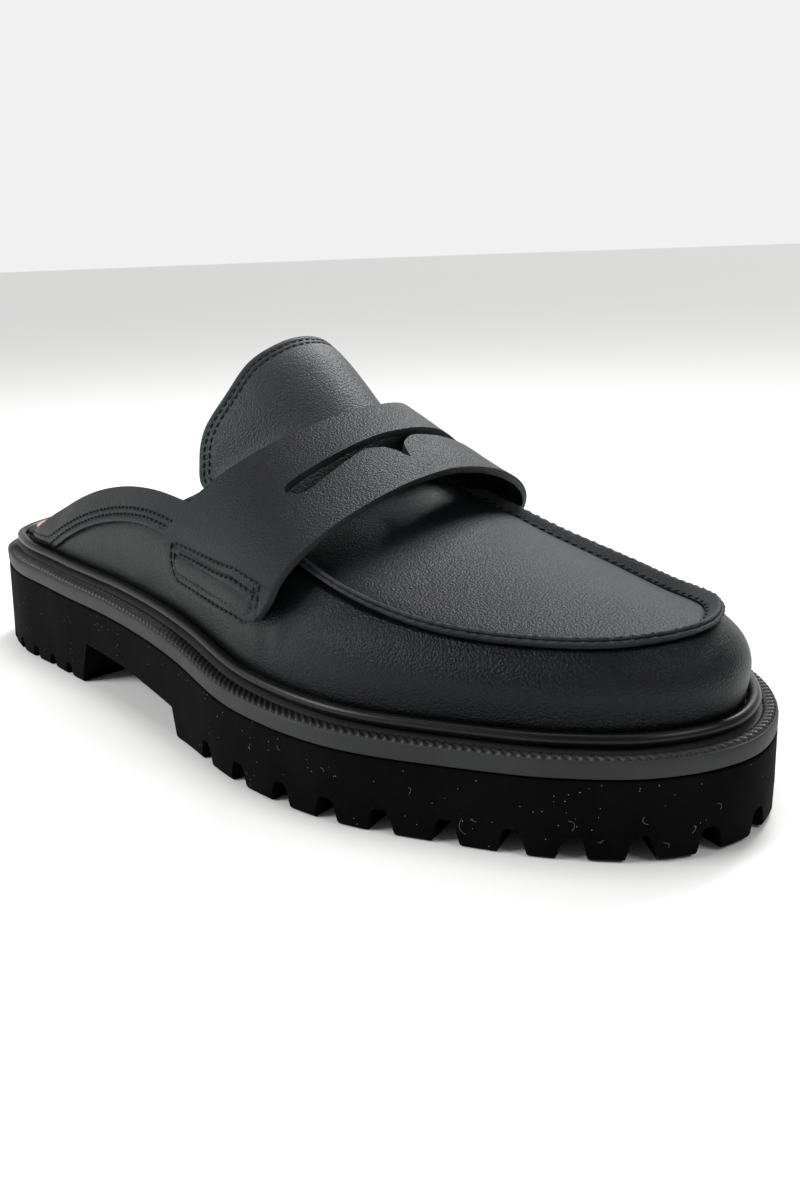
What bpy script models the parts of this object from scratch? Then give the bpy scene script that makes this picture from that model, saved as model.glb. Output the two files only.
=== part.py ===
# Backless penny loafer (a mule) on a lugged rubber sole, right shoe.
# Toe towards -Y, outer side of the foot towards -X, floor at z = 0, metres.
# A station is a distance along the shoe from the back of the heel.

import math

import bmesh
import bpy
import numpy as np

# Sole
OUTSOLE_LENGTH = 0.282
BALL_WIDTH = 0.1055
HEEL_HEIGHT = 0.0285        # floor to the band's lower edge, at the heel
FOREFOOT_HEIGHT = 0.0186    # the same, under the ball
TOE_SPRING = 0.0006
HEEL_LENGTH = 0.0745
ARCH_HEIGHT = 0.0138
BREAST_LEAN = 0.0055
SHANK_DROP = 0.0050
FOREFOOT_START = 0.1385
BAND_HEIGHT = 0.0042
LEDGE_WIDTH = 0.0038
HEEL_LEDGE_RISE = 0.0026
TOE_LEDGE_RISE = 0.0009
BEAD_RADIUS = 0.0015
EDGE_ROUND = 0.0006

# Lugs and their gaps
FIRST_LUG = 0.0245          # back of the forefoot to the middle of its first gap
FIRST_LUG_PITCH = 0.0185    # along the rim, from that gap to the next
LUG_PITCH = 0.0144          # along the rim, from there to the toe
LUG_GAP = 0.0088
LUG_HEIGHT = 0.0064
LUG_DEPTH = 0.0150
LUG_TAPER = 0.0030
LUG_SPREAD = 0.55           # width of a gap's inner end, as a share of its mouth
HEEL_LUG_PITCH = 0.0150
HEEL_LUG_GAP = 0.0060
HEEL_LUG_HEIGHT = 0.0042
HEEL_LUG_DEPTH = 0.0080
TREAD_RECESS = 0.0048
TREAD_MARGIN = 0.0190
HEEL_TREAD_MARGIN = 0.0143
TREAD_BAR = 0.0095
TREAD_BAR_GAP = 0.0075
TREAD_CHANNEL = 0.0060
TREAD_START = 0.0200        # back of the forefoot or of the heel to the first recess
HEEL_TREAD_END = 0.0100     # last recess of the heel to its breast

# Upper
WALL = 0.0018
CLEARANCE = 0.0003
BEAD_CLEARANCE = 0.0005
PLUG_LENGTH = 0.0986
PLUG_WIDTH = 0.0768
TOE_SETBACK = 0.0134        # sole's toe end to the front of the moc seam
TOE_HEIGHT = 0.0456         # floor to the moc seam at the toe
THROAT_HEIGHT = 0.0597      # floor to the moc seam at the throat
PLUG_CROWN = 0.0075
SEAM_HEIGHT = 0.0024
SEAM_WIDTH = 0.0016
SEAM_TILT = 0.40
TAIL_STATION = 0.0270
COLLAR_HEIGHT = 0.0335
FACING_WIDTH = 0.0125
FACING_STEP = 0.0008
TOE_BULGE = 0.0024
QUARTER_BULGE = 0.0014

# Saddle strap
STRAP_THICKNESS = 0.0020
STRAP_REAR_CROWN = (-0.0110, -0.0065, 0.0265)   # outward, ahead of and above the throat
STRAP_FRONT_CROWN = (-0.0040, 0.0225, 0.0128)
STRAP_REAR_FULLNESS = 2.10      # 2 is an ellipse, less is flatter sided
STRAP_FRONT_FULLNESS = 1.66
TAB_REAR = 0.0385           # throat to the tab's rear edge, backwards
TAB_FRONT = 0.0120          # throat to the tab's front edge, forwards
STRAP_FOOT = 0.30           # share of the wall's height at the tab's lower edge
STRAP_LEAVE_OUTER = 0.66    # share of the wall's height where the strap leaves it
STRAP_LEAVE_INNER = 0.95
STRAP_SWELL = 0.0008        # how much its middle stands above its edges
STRAP_CLEARANCE = 0.0005
TAB_CORNER = 0.0060
TAB_LEAN = 0.0020           # how much the tab narrows at its lower edge
TAB_SPREAD = 0.0055         # how much the front edge runs forwards as it rises
STRAP_LIFT = 0.0030         # how far the front edge stands off the moc seam
SLOT_HALF_LENGTH = 0.0295
SLOT_MIDDLE = 0.0025        # outward, of the notch on its front edge

# Tongue
TONGUE_THICKNESS = 0.0022
TONGUE_HALF_WIDTH = 0.0335
TONGUE_RISE = 0.0438        # throat to the tongue's top, upwards
TONGUE_REACH = 0.0351       # throat to the tongue's top, backwards
TONGUE_OFFSET = 0.0080      # towards the inner side
TONGUE_CURL = 0.0319        # how far its sides fall back, at the half width
TONGUE_LEAN = 48.0          # degrees, rise of the line it curls around

# Footbed
FOOTBED_THICKNESS = 0.0028
FOOTBED_RIM = 0.0028
SOCK_RECESS = 0.0010
SOCK_THICKNESS = 0.0010

RING_POINTS = 104
SIDE_COLUMNS = 15
TOE_COLUMNS = 17
STRAP_COLUMNS = 8

# Along the sole: share of the length, outer and inner half width as shares of the ball width
SOLE_OUTLINE = (
    (0.011, 0.131, 0.133),
    (0.043, 0.263, 0.265),
    (0.106, 0.343, 0.352),
    (0.213, 0.380, 0.370),
    (0.355, 0.408, 0.345),
    (0.496, 0.459, 0.362),
    (0.621, 0.521, 0.430),
    (0.727, 0.510, 0.482),
    (0.833, 0.410, 0.480),
    (0.915, 0.303, 0.398),
    (0.965, 0.196, 0.270),
    (0.989, 0.095, 0.165),
)

# Along the sole: share of the length, share of the heel's extra height,
# share of the heel's extra ledge rise, share of the toe spring
SOLE_SIDE = (
    (0.000, 1.00, 0.35, 0.0),
    (0.106, 0.92, 1.00, 0.0),
    (0.248, 0.80, 1.00, 0.0),
    (0.461, 0.55, 0.90, 0.0),
    (0.603, 0.12, 0.55, 0.0),
    (0.727, 0.00, 0.20, 0.0),
    (0.870, 0.00, 0.00, 0.0),
    (1.000, 0.02, 0.00, 1.0),
)

# Moc seam, from the throat to the toe: share of the plug's length, outer and inner
# half width as shares of the plug's width, share of the throat's extra height, crown
MOC_SEAM = (
    (0.000, 0.479, 0.464, 1.000, 1.00),
    (0.152, 0.501, 0.491, 0.631, 0.98),
    (0.304, 0.502, 0.499, 0.312, 0.90),
    (0.558, 0.457, 0.465, 0.000, 0.66),
    (0.740, 0.362, 0.378, -0.078, 0.42),
    (0.927, 0.217, 0.241, -0.028, 0.12),
)
SEAM_TIP = (1.000, -0.014, 0.000, 0.00)     # share of length, offset, height, crown

# Collar line, from the tail to the throat: share of the run, share of the collar's
# height, outer and inner lean as shares of the collar's height
COLLAR_LINE = (
    (0.000, 0.080, 0.00, 0.00),
    (0.075, 0.230, 0.02, 0.02),
    (0.200, 0.480, 0.07, 0.03),
    (0.400, 0.800, 0.09, 0.01),
    (0.610, 0.955, 0.12, -0.04),
    (0.760, 0.950, 0.19, -0.10),
)

# Tongue, from its lower front end to its top: station and height as shares of the way
# from the throat to the top, outer and inner half width as shares of the largest,
# share of the curl that its sides take, share of the offset
TONGUE_ROWS = (
    (-0.40, -0.170, 0.76, 0.72, 0.28, 0.0),
    (-0.17, -0.090, 0.78, 0.72, 0.32, 0.2),
    (0.00, -0.010, 0.81, 0.70, 0.38, 0.4),
    (0.10, 0.185, 0.86, 0.66, 0.52, 0.6),
    (0.20, 0.360, 0.90, 0.62, 0.74, 0.8),
    (0.30, 0.478, 0.94, 0.62, 0.90, 1.0),
    (0.42, 0.587, 1.01, 0.70, 1.00, 1.0),
    (0.58, 0.722, 0.98, 0.77, 1.00, 1.0),
    (0.73, 0.842, 0.89, 0.80, 1.00, 1.0),
    (0.84, 0.917, 0.71, 0.71, 1.00, 1.0),
    (0.96, 0.982, 0.50, 0.50, 1.00, 1.0),
    (1.00, 1.000, 0.20, 0.20, 1.00, 1.0),
)

# Strap's slot, from its middle to its end: share of the half length, rear and front
# edge as shares of the strap's width
SLOT_ROWS = (
    (0.00, 0.410, 0.770),
    (0.06, 0.412, 0.640),
    (0.20, 0.420, 0.540),
    (0.45, 0.440, 0.560),
    (0.75, 0.460, 0.620),
    (0.93, 0.475, 0.640),
    (1.00, 0.510, 0.600),
)


def make_curve(knots, values, closed=False):
    """Smooth curve through the rows of values, one row at each growing knot."""
    knots = np.asarray(knots, float)
    values = np.asarray(values, float)
    steps = np.diff(knots)[:, None]
    slopes = np.diff(values, axis=0) / steps
    inner = (slopes[:-1] * steps[1:] + slopes[1:] * steps[:-1]) / (steps[:-1] + steps[1:])
    first, last = slopes[0], slopes[-1]
    if closed:
        first = (slopes[-1] * steps[0] + slopes[0] * steps[-1]) / (steps[-1] + steps[0])
        last = first
    tangents = np.vstack([first, inner, last])

    def at(x):
        x = np.clip(np.atleast_1d(x), knots[0], knots[-1])
        k = np.clip(np.searchsorted(knots, x, side="right") - 1, 0, len(steps) - 1)
        h = steps[k]
        t = ((x - knots[k]) / h[:, 0])[:, None]
        rise = t * t * (3 - 2 * t)
        start = t * (1 - t) * (1 - t)
        end = t * t * (t - 1)
        return (values[k] * (1 - rise) + values[k + 1] * rise
                + h * (tangents[k] * start + tangents[k + 1] * end))

    return at


def resample(points, count, closed=False, samples=1600):
    """Points spaced evenly along a smooth curve through the given ones."""
    points = np.asarray(points, float)
    if closed:
        points = np.vstack([points, points[:1]])
    chords = np.linalg.norm(np.diff(points[:, :2], axis=0), axis=1)
    knots = np.concatenate([[0], np.cumsum(chords)])
    dense = make_curve(knots, points, closed)(np.linspace(0, knots[-1], samples))
    runs = np.linalg.norm(np.diff(dense, axis=0), axis=1)
    length = np.concatenate([[0], np.cumsum(runs)])
    wanted = np.linspace(0, length[-1], count + 1 if closed else count)
    if closed:
        wanted = wanted[:-1]
    return np.column_stack([np.interp(wanted, length, dense[:, c]) for c in range(dense.shape[1])])


side_curve = make_curve([row[0] for row in SOLE_SIDE], [row[1:] for row in SOLE_SIDE])


def side_shares(station):
    return side_curve(np.asarray(station) / OUTSOLE_LENGTH)


def floor_line(station):
    """Underside of the lugs: flat, rising a little at the toe."""
    return TOE_SPRING * np.maximum(side_shares(station)[:, 2], 0.0)


def band_line(station):
    """Lower edge of the band around the sole."""
    shares = side_shares(station)
    extra = HEEL_HEIGHT - FOREFOOT_HEIGHT
    return FOREFOOT_HEIGHT + extra * shares[:, 0] + TOE_SPRING * shares[:, 2]


def ledge_rise(station):
    return TOE_LEDGE_RISE + (HEEL_LEDGE_RISE - TOE_LEDGE_RISE) * side_shares(station)[:, 1]


def seat_line(station):
    """Top of the band layer inside its ledge, on which the upper and footbed sit."""
    return band_line(station) + BAND_HEIGHT + ledge_rise(station)


def sole_outline():
    """Closed ring of (outward, station) points, heel, outer side, toe, inner side."""
    outer = [(BALL_WIDTH * row[1], OUTSOLE_LENGTH * row[0]) for row in SOLE_OUTLINE]
    inner = [(-BALL_WIDTH * row[2], OUTSOLE_LENGTH * row[0]) for row in SOLE_OUTLINE]
    toe = (-0.0015, OUTSOLE_LENGTH)
    return resample([(0.0, 0.0)] + outer + [toe] + inner[::-1], RING_POINTS, closed=True)


def ring_inward(ring):
    """Unit vectors pointing into the closed ring at each of its points."""
    tangent = np.roll(ring, -1, axis=0) - np.roll(ring, 1, axis=0)
    tangent /= np.linalg.norm(tangent, axis=1)[:, None]
    return np.column_stack([-tangent[:, 1], tangent[:, 0]]) * -1.0


OUTLINE = sole_outline()
INWARD = ring_inward(OUTLINE)
if np.dot(INWARD[RING_POINTS // 4], -OUTLINE[RING_POINTS // 4] + [0, OUTSOLE_LENGTH / 2]) < 0:
    INWARD = -INWARD


CENTRE = (OUTLINE[:, 0].max() + OUTLINE[:, 0].min()) / 2


def inset(distance):
    return OUTLINE + INWARD * np.reshape(distance, (-1, 1))


def place(outward, station, height):
    """World point of a place given by its distance outward, its station and its height."""
    return (CENTRE - outward, OUTSOLE_LENGTH / 2 - station, height)


def ring_points(ring, heights):
    return [place(p[0], p[1], z) for p, z in zip(ring, heights)]


def make_material(name, colour, roughness):
    material = bpy.data.materials.new(name)
    material.use_nodes = True
    shader = material.node_tree.nodes["Principled BSDF"]
    shader.inputs["Base Color"].default_value = (*colour, 1.0)
    shader.inputs["Roughness"].default_value = roughness
    shader.inputs["Metallic"].default_value = 0.0
    return material


def make_object(name, points, faces, material=None, smooth=math.radians(35)):
    mesh = bpy.data.meshes.new(name)
    mesh.from_pydata([tuple(map(float, p)) for p in points], [], faces)
    shape = bmesh.new()
    shape.from_mesh(mesh)
    bmesh.ops.recalc_face_normals(shape, faces=shape.faces[:])
    shape.to_mesh(mesh)
    shape.free()
    mesh.shade_smooth()
    mesh.set_sharp_from_angle(angle=smooth)
    made = bpy.data.objects.new(name, mesh)
    bpy.context.scene.collection.objects.link(made)
    if material:
        mesh.materials.append(material)
    return made


def ladder(first, count):
    """Faces that close a ring of points by strips running from side to side."""
    faces = [(first, first + 1, first + count - 1)]
    half = count // 2
    for k in range(1, half - 1):
        faces.append((first + k, first + k + 1, first + count - k - 1, first + count - k))
    faces.append((first + half - 1, first + half, first + count - half + 1))
    return faces


def stacked(name, rings, material):
    """Solid lofted through rings of equal count, closed by side-to-side strips."""
    count = len(rings[0])
    points = [p for ring in rings for p in ring]
    faces = []
    for level in range(len(rings) - 1):
        low, high = level * count, (level + 1) * count
        for k in range(count):
            n = (k + 1) % count
            faces.append((low + k, low + n, high + n, high + k))
    faces += ladder(0, count)
    faces += ladder((len(rings) - 1) * count, count)
    return make_object(name, points, faces, material)


def prism(loop_low, loop_high):
    """Points and faces of a closed prism between two loops of equal count."""
    count = len(loop_low)
    points = list(loop_low) + list(loop_high)
    faces = [tuple(range(count)), tuple(range(2 * count - 1, count - 1, -1))]
    for k in range(count):
        n = (k + 1) % count
        faces.append((k, n, count + n, count + k))
    return points, faces


def joined(name, prisms):
    """One hidden helper object from several separate prisms."""
    points, faces = [], []
    for some_points, some_faces in prisms:
        start = len(points)
        points += some_points
        faces += [tuple(start + k for k in face) for face in some_faces]
    helper = make_object(name, points, faces)
    helper.hide_render = True
    helper.display_type = "WIRE"
    return helper


def boolean(target, helper, operation):
    step = target.modifiers.new(helper.name, "BOOLEAN")
    step.operation = operation
    step.solver = "EXACT"
    step.object = helper


def wedge(position, inward, depth, mouth, root, height, lean):
    """Gap between two lugs: wide at the floor and the rim, narrow at its root and inside."""
    along = np.array([-inward[1], inward[0]])
    reach_out = 0.004
    below = -0.002

    def loop(width, end, z):
        corners = []
        inner = width * LUG_SPREAD
        for side, span, reach in ((-1, width, -reach_out), (1, width, -reach_out),
                                  (1, inner, end), (-1, inner, end)):
            spot = position + along * side * span / 2 + inward * reach
            corners.append(place(spot[0], spot[1], z))
        return corners

    return prism(loop(mouth, depth, below), loop(root, depth - lean, height))


def rim_wedges(start, stop, pitches, mouth, height, depth):
    """Gaps along the rim where its station lies between start and stop.

    The first gap and the next are the first pitch apart, the rest the second pitch.
    """
    runs = np.linalg.norm(np.roll(OUTLINE, -1, axis=0) - OUTLINE, axis=1)
    length = np.concatenate([[0], np.cumsum(runs)])
    inside = (OUTLINE[:, 1] >= start) & (OUTLINE[:, 1] <= stop)
    order = np.arange(RING_POINTS)
    if inside[0]:
        order = np.roll(order, RING_POINTS // 2)
    chosen = [k for k in order if inside[k]]
    total = sum(runs[k] for k in chosen[:-1])
    wedges = []
    for travel in [0.0, *np.arange(pitches[0], total, pitches[1])]:
        around = (length[chosen[0]] + travel) % length[-1]
        spot, way = (np.array([np.interp(around, length, np.append(ring[:, c], ring[0, c]))
                               for c in (0, 1)]) for ring in (OUTLINE, INWARD))
        way /= np.linalg.norm(way)
        lift = float(floor_line(spot[1])[0])
        wedges.append(wedge(spot, way, depth, mouth, mouth - LUG_TAPER, height + lift, LUG_TAPER))
    return wedges


def arch_cutter():
    """Space under the waist, from the heel's breast to the back of the forefoot."""
    profile = [
        (HEEL_LENGTH, -0.004),
        (HEEL_LENGTH, 0.0),
        (HEEL_LENGTH + BREAST_LEAN, ARCH_HEIGHT),
        ((HEEL_LENGTH + FOREFOOT_START) / 2, ARCH_HEIGHT - SHANK_DROP / 3),
        (FOREFOOT_START - 0.002, ARCH_HEIGHT - SHANK_DROP),
        (FOREFOOT_START, 0.0),
        (FOREFOOT_START, -0.004),
    ]
    sides = [[place(side * BALL_WIDTH, s, z) for s, z in profile] for side in (-1, 1)]
    return joined("arch_cutter", [prism(*sides)])


def tread_bars(start, stop, margin):
    """Recesses between the middle bars of the tread, left and right of a channel."""
    outer_side = OUTLINE[:RING_POINTS // 2]
    inner_side = OUTLINE[RING_POINTS // 2:][::-1]
    shapes = []
    station = start
    while station + TREAD_BAR_GAP <= stop:
        ends = (station, station + TREAD_BAR_GAP)
        for side, line in ((1, outer_side), (-1, inner_side)):
            reach = [abs(np.interp(s, line[:, 1], line[:, 0])) - margin for s in ends]
            if min(reach) > TREAD_CHANNEL:
                tilt = TREAD_BAR_GAP * 0.6
                near = TREAD_CHANNEL / 2
                spots = [
                    (side * near, ends[0]),
                    (side * reach[0], ends[0] - tilt),
                    (side * reach[1], ends[1] - tilt),
                    (side * near, ends[1]),
                ]
                low = [place(u, s, -0.002) for u, s in spots]
                high = [place(u, s, TREAD_RECESS) for u, s in spots]
                shapes.append(prism(low, high))
        station += TREAD_BAR_GAP + TREAD_BAR
    return shapes


def build_outsole(material):
    stations = OUTLINE[:, 1]
    low = floor_line(stations)
    top = band_line(stations)
    rings = [
        ring_points(inset(EDGE_ROUND), low),
        ring_points(inset(0.0), low + EDGE_ROUND),
        ring_points(inset(0.0), low * 0.5 + top * 0.5),
        ring_points(inset(0.0), top - CLEARANCE),
    ]
    outsole = stacked("outsole", rings, material)
    boolean(outsole, arch_cutter(), "DIFFERENCE")
    front = rim_wedges(FOREFOOT_START + FIRST_LUG, OUTSOLE_LENGTH, (FIRST_LUG_PITCH, LUG_PITCH),
                       LUG_GAP, LUG_HEIGHT, LUG_DEPTH)
    boolean(outsole, joined("lug_gaps", front), "DIFFERENCE")
    heel = rim_wedges(0.0, HEEL_LENGTH - HEEL_LUG_PITCH * 0.45,
                      (HEEL_LUG_PITCH, HEEL_LUG_PITCH), HEEL_LUG_GAP, HEEL_LUG_HEIGHT, HEEL_LUG_DEPTH)
    boolean(outsole, joined("heel_lug_gaps", heel), "DIFFERENCE")
    bars = tread_bars(FOREFOOT_START + TREAD_START, OUTSOLE_LENGTH - TREAD_MARGIN, TREAD_MARGIN)
    bars += tread_bars(TREAD_START, HEEL_LENGTH - HEEL_TREAD_END, HEEL_TREAD_MARGIN)
    boolean(outsole, joined("tread_recesses", bars), "DIFFERENCE")
    return outsole


def build_midsole(material):
    stations = OUTLINE[:, 1]
    low = band_line(stations)
    top = low + BAND_HEIGHT
    seat = seat_line(stations)
    rings = [
        ring_points(inset(EDGE_ROUND), low),
        ring_points(inset(0.0), low + EDGE_ROUND),
        ring_points(inset(0.0), top - EDGE_ROUND),
        ring_points(inset(EDGE_ROUND), top),
        ring_points(inset(LEDGE_WIDTH), seat),
        ring_points(inset(LEDGE_WIDTH + 2 * BEAD_RADIUS), seat),
    ]
    return stacked("midsole", rings, material)


def build_welt(material, sides=8):
    """Round bead that fills the corner between the ledge and the upper."""
    centre = inset(LEDGE_WIDTH + BEAD_RADIUS)
    count = RING_POINTS
    points, faces = [], []
    heights = seat_line(OUTLINE[:, 1]) + BEAD_RADIUS + CLEARANCE
    for k in range(sides):
        angle = 2 * math.pi * (k + 0.5) / sides
        ring = centre + INWARD * BEAD_RADIUS * math.cos(angle)
        points += ring_points(ring, heights + BEAD_RADIUS * math.sin(angle))
    for level in range(sides):
        low, high = level * count, (level + 1) % sides * count
        for k in range(count):
            n = (k + 1) % count
            faces.append((low + k, low + n, high + n, high + k))
    return make_object("welt", points, faces, material, math.radians(60))


UPPER_INSET = LEDGE_WIDTH + 2 * BEAD_RADIUS + BEAD_CLEARANCE
THROAT_STATION = OUTSOLE_LENGTH - TOE_SETBACK - PLUG_LENGTH


def feather_side(side):
    """Half of the upper's lower edge, (outward, station), from the tail to the toe."""
    ring = inset(UPPER_INSET)
    half = RING_POINTS // 2
    if side > 0:
        line = ring[:half + 1]
    else:
        line = np.vstack([ring[:1], ring[half:][::-1]])
    return line


def split_run(line, start):
    """Dense points of the line from a station to its toe end."""
    dense = resample(line, 400)
    return dense[dense[:, 1] >= start]


def at_stations(line, stations):
    rising = line[:int(np.argmax(line[:, 1])) + 1]
    return np.column_stack([np.interp(stations, rising[:, 1], rising[:, 0]), stations])


def seam_side(side):
    """Half of the moc seam, (outward, station, height, crown), throat to tip."""
    column = 1 if side > 0 else 2
    rise = THROAT_HEIGHT - TOE_HEIGHT
    rows = []
    for row in MOC_SEAM:
        rows.append((side * PLUG_WIDTH * row[column], THROAT_STATION + PLUG_LENGTH * row[0],
                     TOE_HEIGHT + rise * row[3], PLUG_CROWN * row[4]))
    return rows


def seam_lines():
    """Both halves of the moc seam as evenly spaced rows that share the tip."""
    tip = (PLUG_WIDTH * SEAM_TIP[1], THROAT_STATION + PLUG_LENGTH * SEAM_TIP[0], TOE_HEIGHT, 0.0)
    whole = seam_side(1) + [tip] + seam_side(-1)[::-1]
    run = resample(whole, 2 * TOE_COLUMNS + 1)
    return run[:TOE_COLUMNS + 1], run[TOE_COLUMNS:][::-1]


def column_lines(side, seam):
    """Feather points and top points of one side's columns, from the tail to the tip."""
    feather = feather_side(side)
    throat = np.linspace(TAIL_STATION, THROAT_STATION, SIDE_COLUMNS + 1)[:-1]
    shares = (throat - TAIL_STATION) / (THROAT_STATION - TAIL_STATION)
    rear = at_stations(split_run(feather, 0.0), throat)
    column = 2 if side > 0 else 3
    seat_end = seat_line(THROAT_STATION)[0] + CLEARANCE
    end_height = (seam[0][2] - seat_end) / COLLAR_HEIGHT
    end_foot = at_stations(split_run(feather, 0.0), np.array([THROAT_STATION]))[0]
    end_lean = (abs(end_foot[0]) - abs(seam[0][0])) / COLLAR_HEIGHT
    knots = [row[0] for row in COLLAR_LINE] + [1.0]
    values = [(row[1], row[column]) for row in COLLAR_LINE] + [(end_height, end_lean)]
    shape = make_curve(knots, values)(shares)
    seat = seat_line(rear[:, 1]) + CLEARANCE
    rear_top = np.column_stack([
        rear[:, 0] - side * COLLAR_HEIGHT * shape[:, 1],
        rear[:, 1] + COLLAR_HEIGHT * 0.12 * (1 - shares) ** 4,
        seat + COLLAR_HEIGHT * shape[:, 0],
    ])
    front = resample(split_run(feather, THROAT_STATION), TOE_COLUMNS + 1)
    feet = np.vstack([rear, front])
    tops = np.vstack([rear_top, seam[:, :3]])
    return feet, tops


def wall_rows():
    """Row positions up the wall: below the facing's edge, its step, and above it."""
    return [("low", 0.0), ("low", 0.12), ("low", 0.30), ("low", 0.52), ("low", 0.76), ("low", 1.0),
            ("high", 0.0), ("high", 0.25), ("high", 0.50), ("high", 0.76), ("high", 1.0)]


def wall_point(foot, top, share, bulge):
    """Point of the side wall at a share of its way up, full above the bead."""
    turn = math.radians(62)
    inward = (1 - math.cos(turn * share)) / (1 - math.cos(turn))
    upward = math.sin(turn * share) / math.sin(turn)
    base = seat_line(foot[1])[0] + CLEARANCE
    flat = top[:2] - foot
    out = foot - np.array([0.0, OUTSOLE_LENGTH * 0.5])
    out[1] = max(out[1] - OUTSOLE_LENGTH * 0.28, 0.0)
    out /= np.linalg.norm(out)
    spot = foot + flat * inward + out * bulge * math.sin(math.pi * share) ** 2
    return np.array([spot[0], spot[1], base + (top[2] - base) * upward])


def wall_share(foot, top, row):
    base = seat_line(foot[1])[0] + CLEARANCE
    height = top[2] - base
    edge = 1 - FACING_WIDTH / height
    edge = min(max(edge, 0.10), 0.62)
    zone, share = row
    if zone == "low":
        return edge * share
    return edge + 0.02 + (1 - edge - 0.02) * share


def wall_bulge(station):
    share = min(max((station - TAIL_STATION) / (THROAT_STATION - TAIL_STATION), 0.0), 1.0)
    return QUARTER_BULGE * min(share * 4, 1) + (TOE_BULGE - QUARTER_BULGE) * share ** 3


def clamp(share):
    return min(max(share, 0.0), 1.0)


def facing_step(station, rise):
    """Extra thickness of the facing along the collar, none by the bead or at the throat."""
    by_throat = clamp((THROAT_STATION - 0.008 - station) / 0.020)
    by_bead = clamp((rise - 2 * BEAD_RADIUS) / 0.0015 - 0.5)
    return FACING_STEP * by_throat * by_bead


class Sheet:
    """Grid of named points, its faces, and the extra height that each point gets."""

    def __init__(self):
        self.points = []
        self.extra = []
        self.faces = []

    def add(self, point, extra=(0.0, 0.0, 0.0)):
        self.points.append(np.asarray(point, float))
        self.extra.append(np.asarray(extra, float))
        return len(self.points) - 1

    def quad(self, a, b, c, d):
        loop = []
        for k in (a, b, c, d):
            if k not in loop:
                loop.append(k)
        self.faces.append(tuple(loop))

    def normals(self):
        """Unit normals averaged from the faces around each point."""
        total = np.zeros((len(self.points), 3))
        spots = np.array(self.points)
        for face in self.faces:
            ring = spots[list(face)]
            area = np.zeros(3)
            for k in range(1, len(ring) - 1):
                area += np.cross(ring[k] - ring[0], ring[k + 1] - ring[0])
            for k in face:
                total[k] += area
        return total / np.linalg.norm(total, axis=1)[:, None]

    def thicken(self, name, wall, material, sharp=math.radians(35)):
        """Closed solid between the raised sheet and the plain one moved inwards."""
        normals = self.normals()
        spots = np.array(self.points)
        outside = spots + np.array(self.extra)[:, :1] * normals
        outside[:, 2] += np.array(self.extra)[:, 2]
        outside[:, :2] += np.array(self.extra)[:, 1:2] * normals[:, :2]
        inside = spots - normals * wall
        count = len(spots)
        faces = list(self.faces)
        faces += [tuple(count + k for k in reversed(face)) for face in self.faces]
        edges = {}
        for face in self.faces:
            for k, start in enumerate(face):
                end = face[(k + 1) % len(face)]
                edges[(start, end)] = True
        for start, end in edges:
            if (end, start) not in edges:
                faces.append((end, start, count + start, count + end))
        return make_object(name, np.vstack([outside, inside]), faces, material, sharp)


def place_sheet(sheet):
    """Turn a sheet's (outward, station, height) points into world points."""
    sheet.points = [np.array(place(*p)) for p in sheet.points]


SEAM_OUTER, SEAM_INNER = seam_lines()
WALLS = {1: column_lines(1, SEAM_OUTER), -1: column_lines(-1, SEAM_INNER)}


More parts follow.
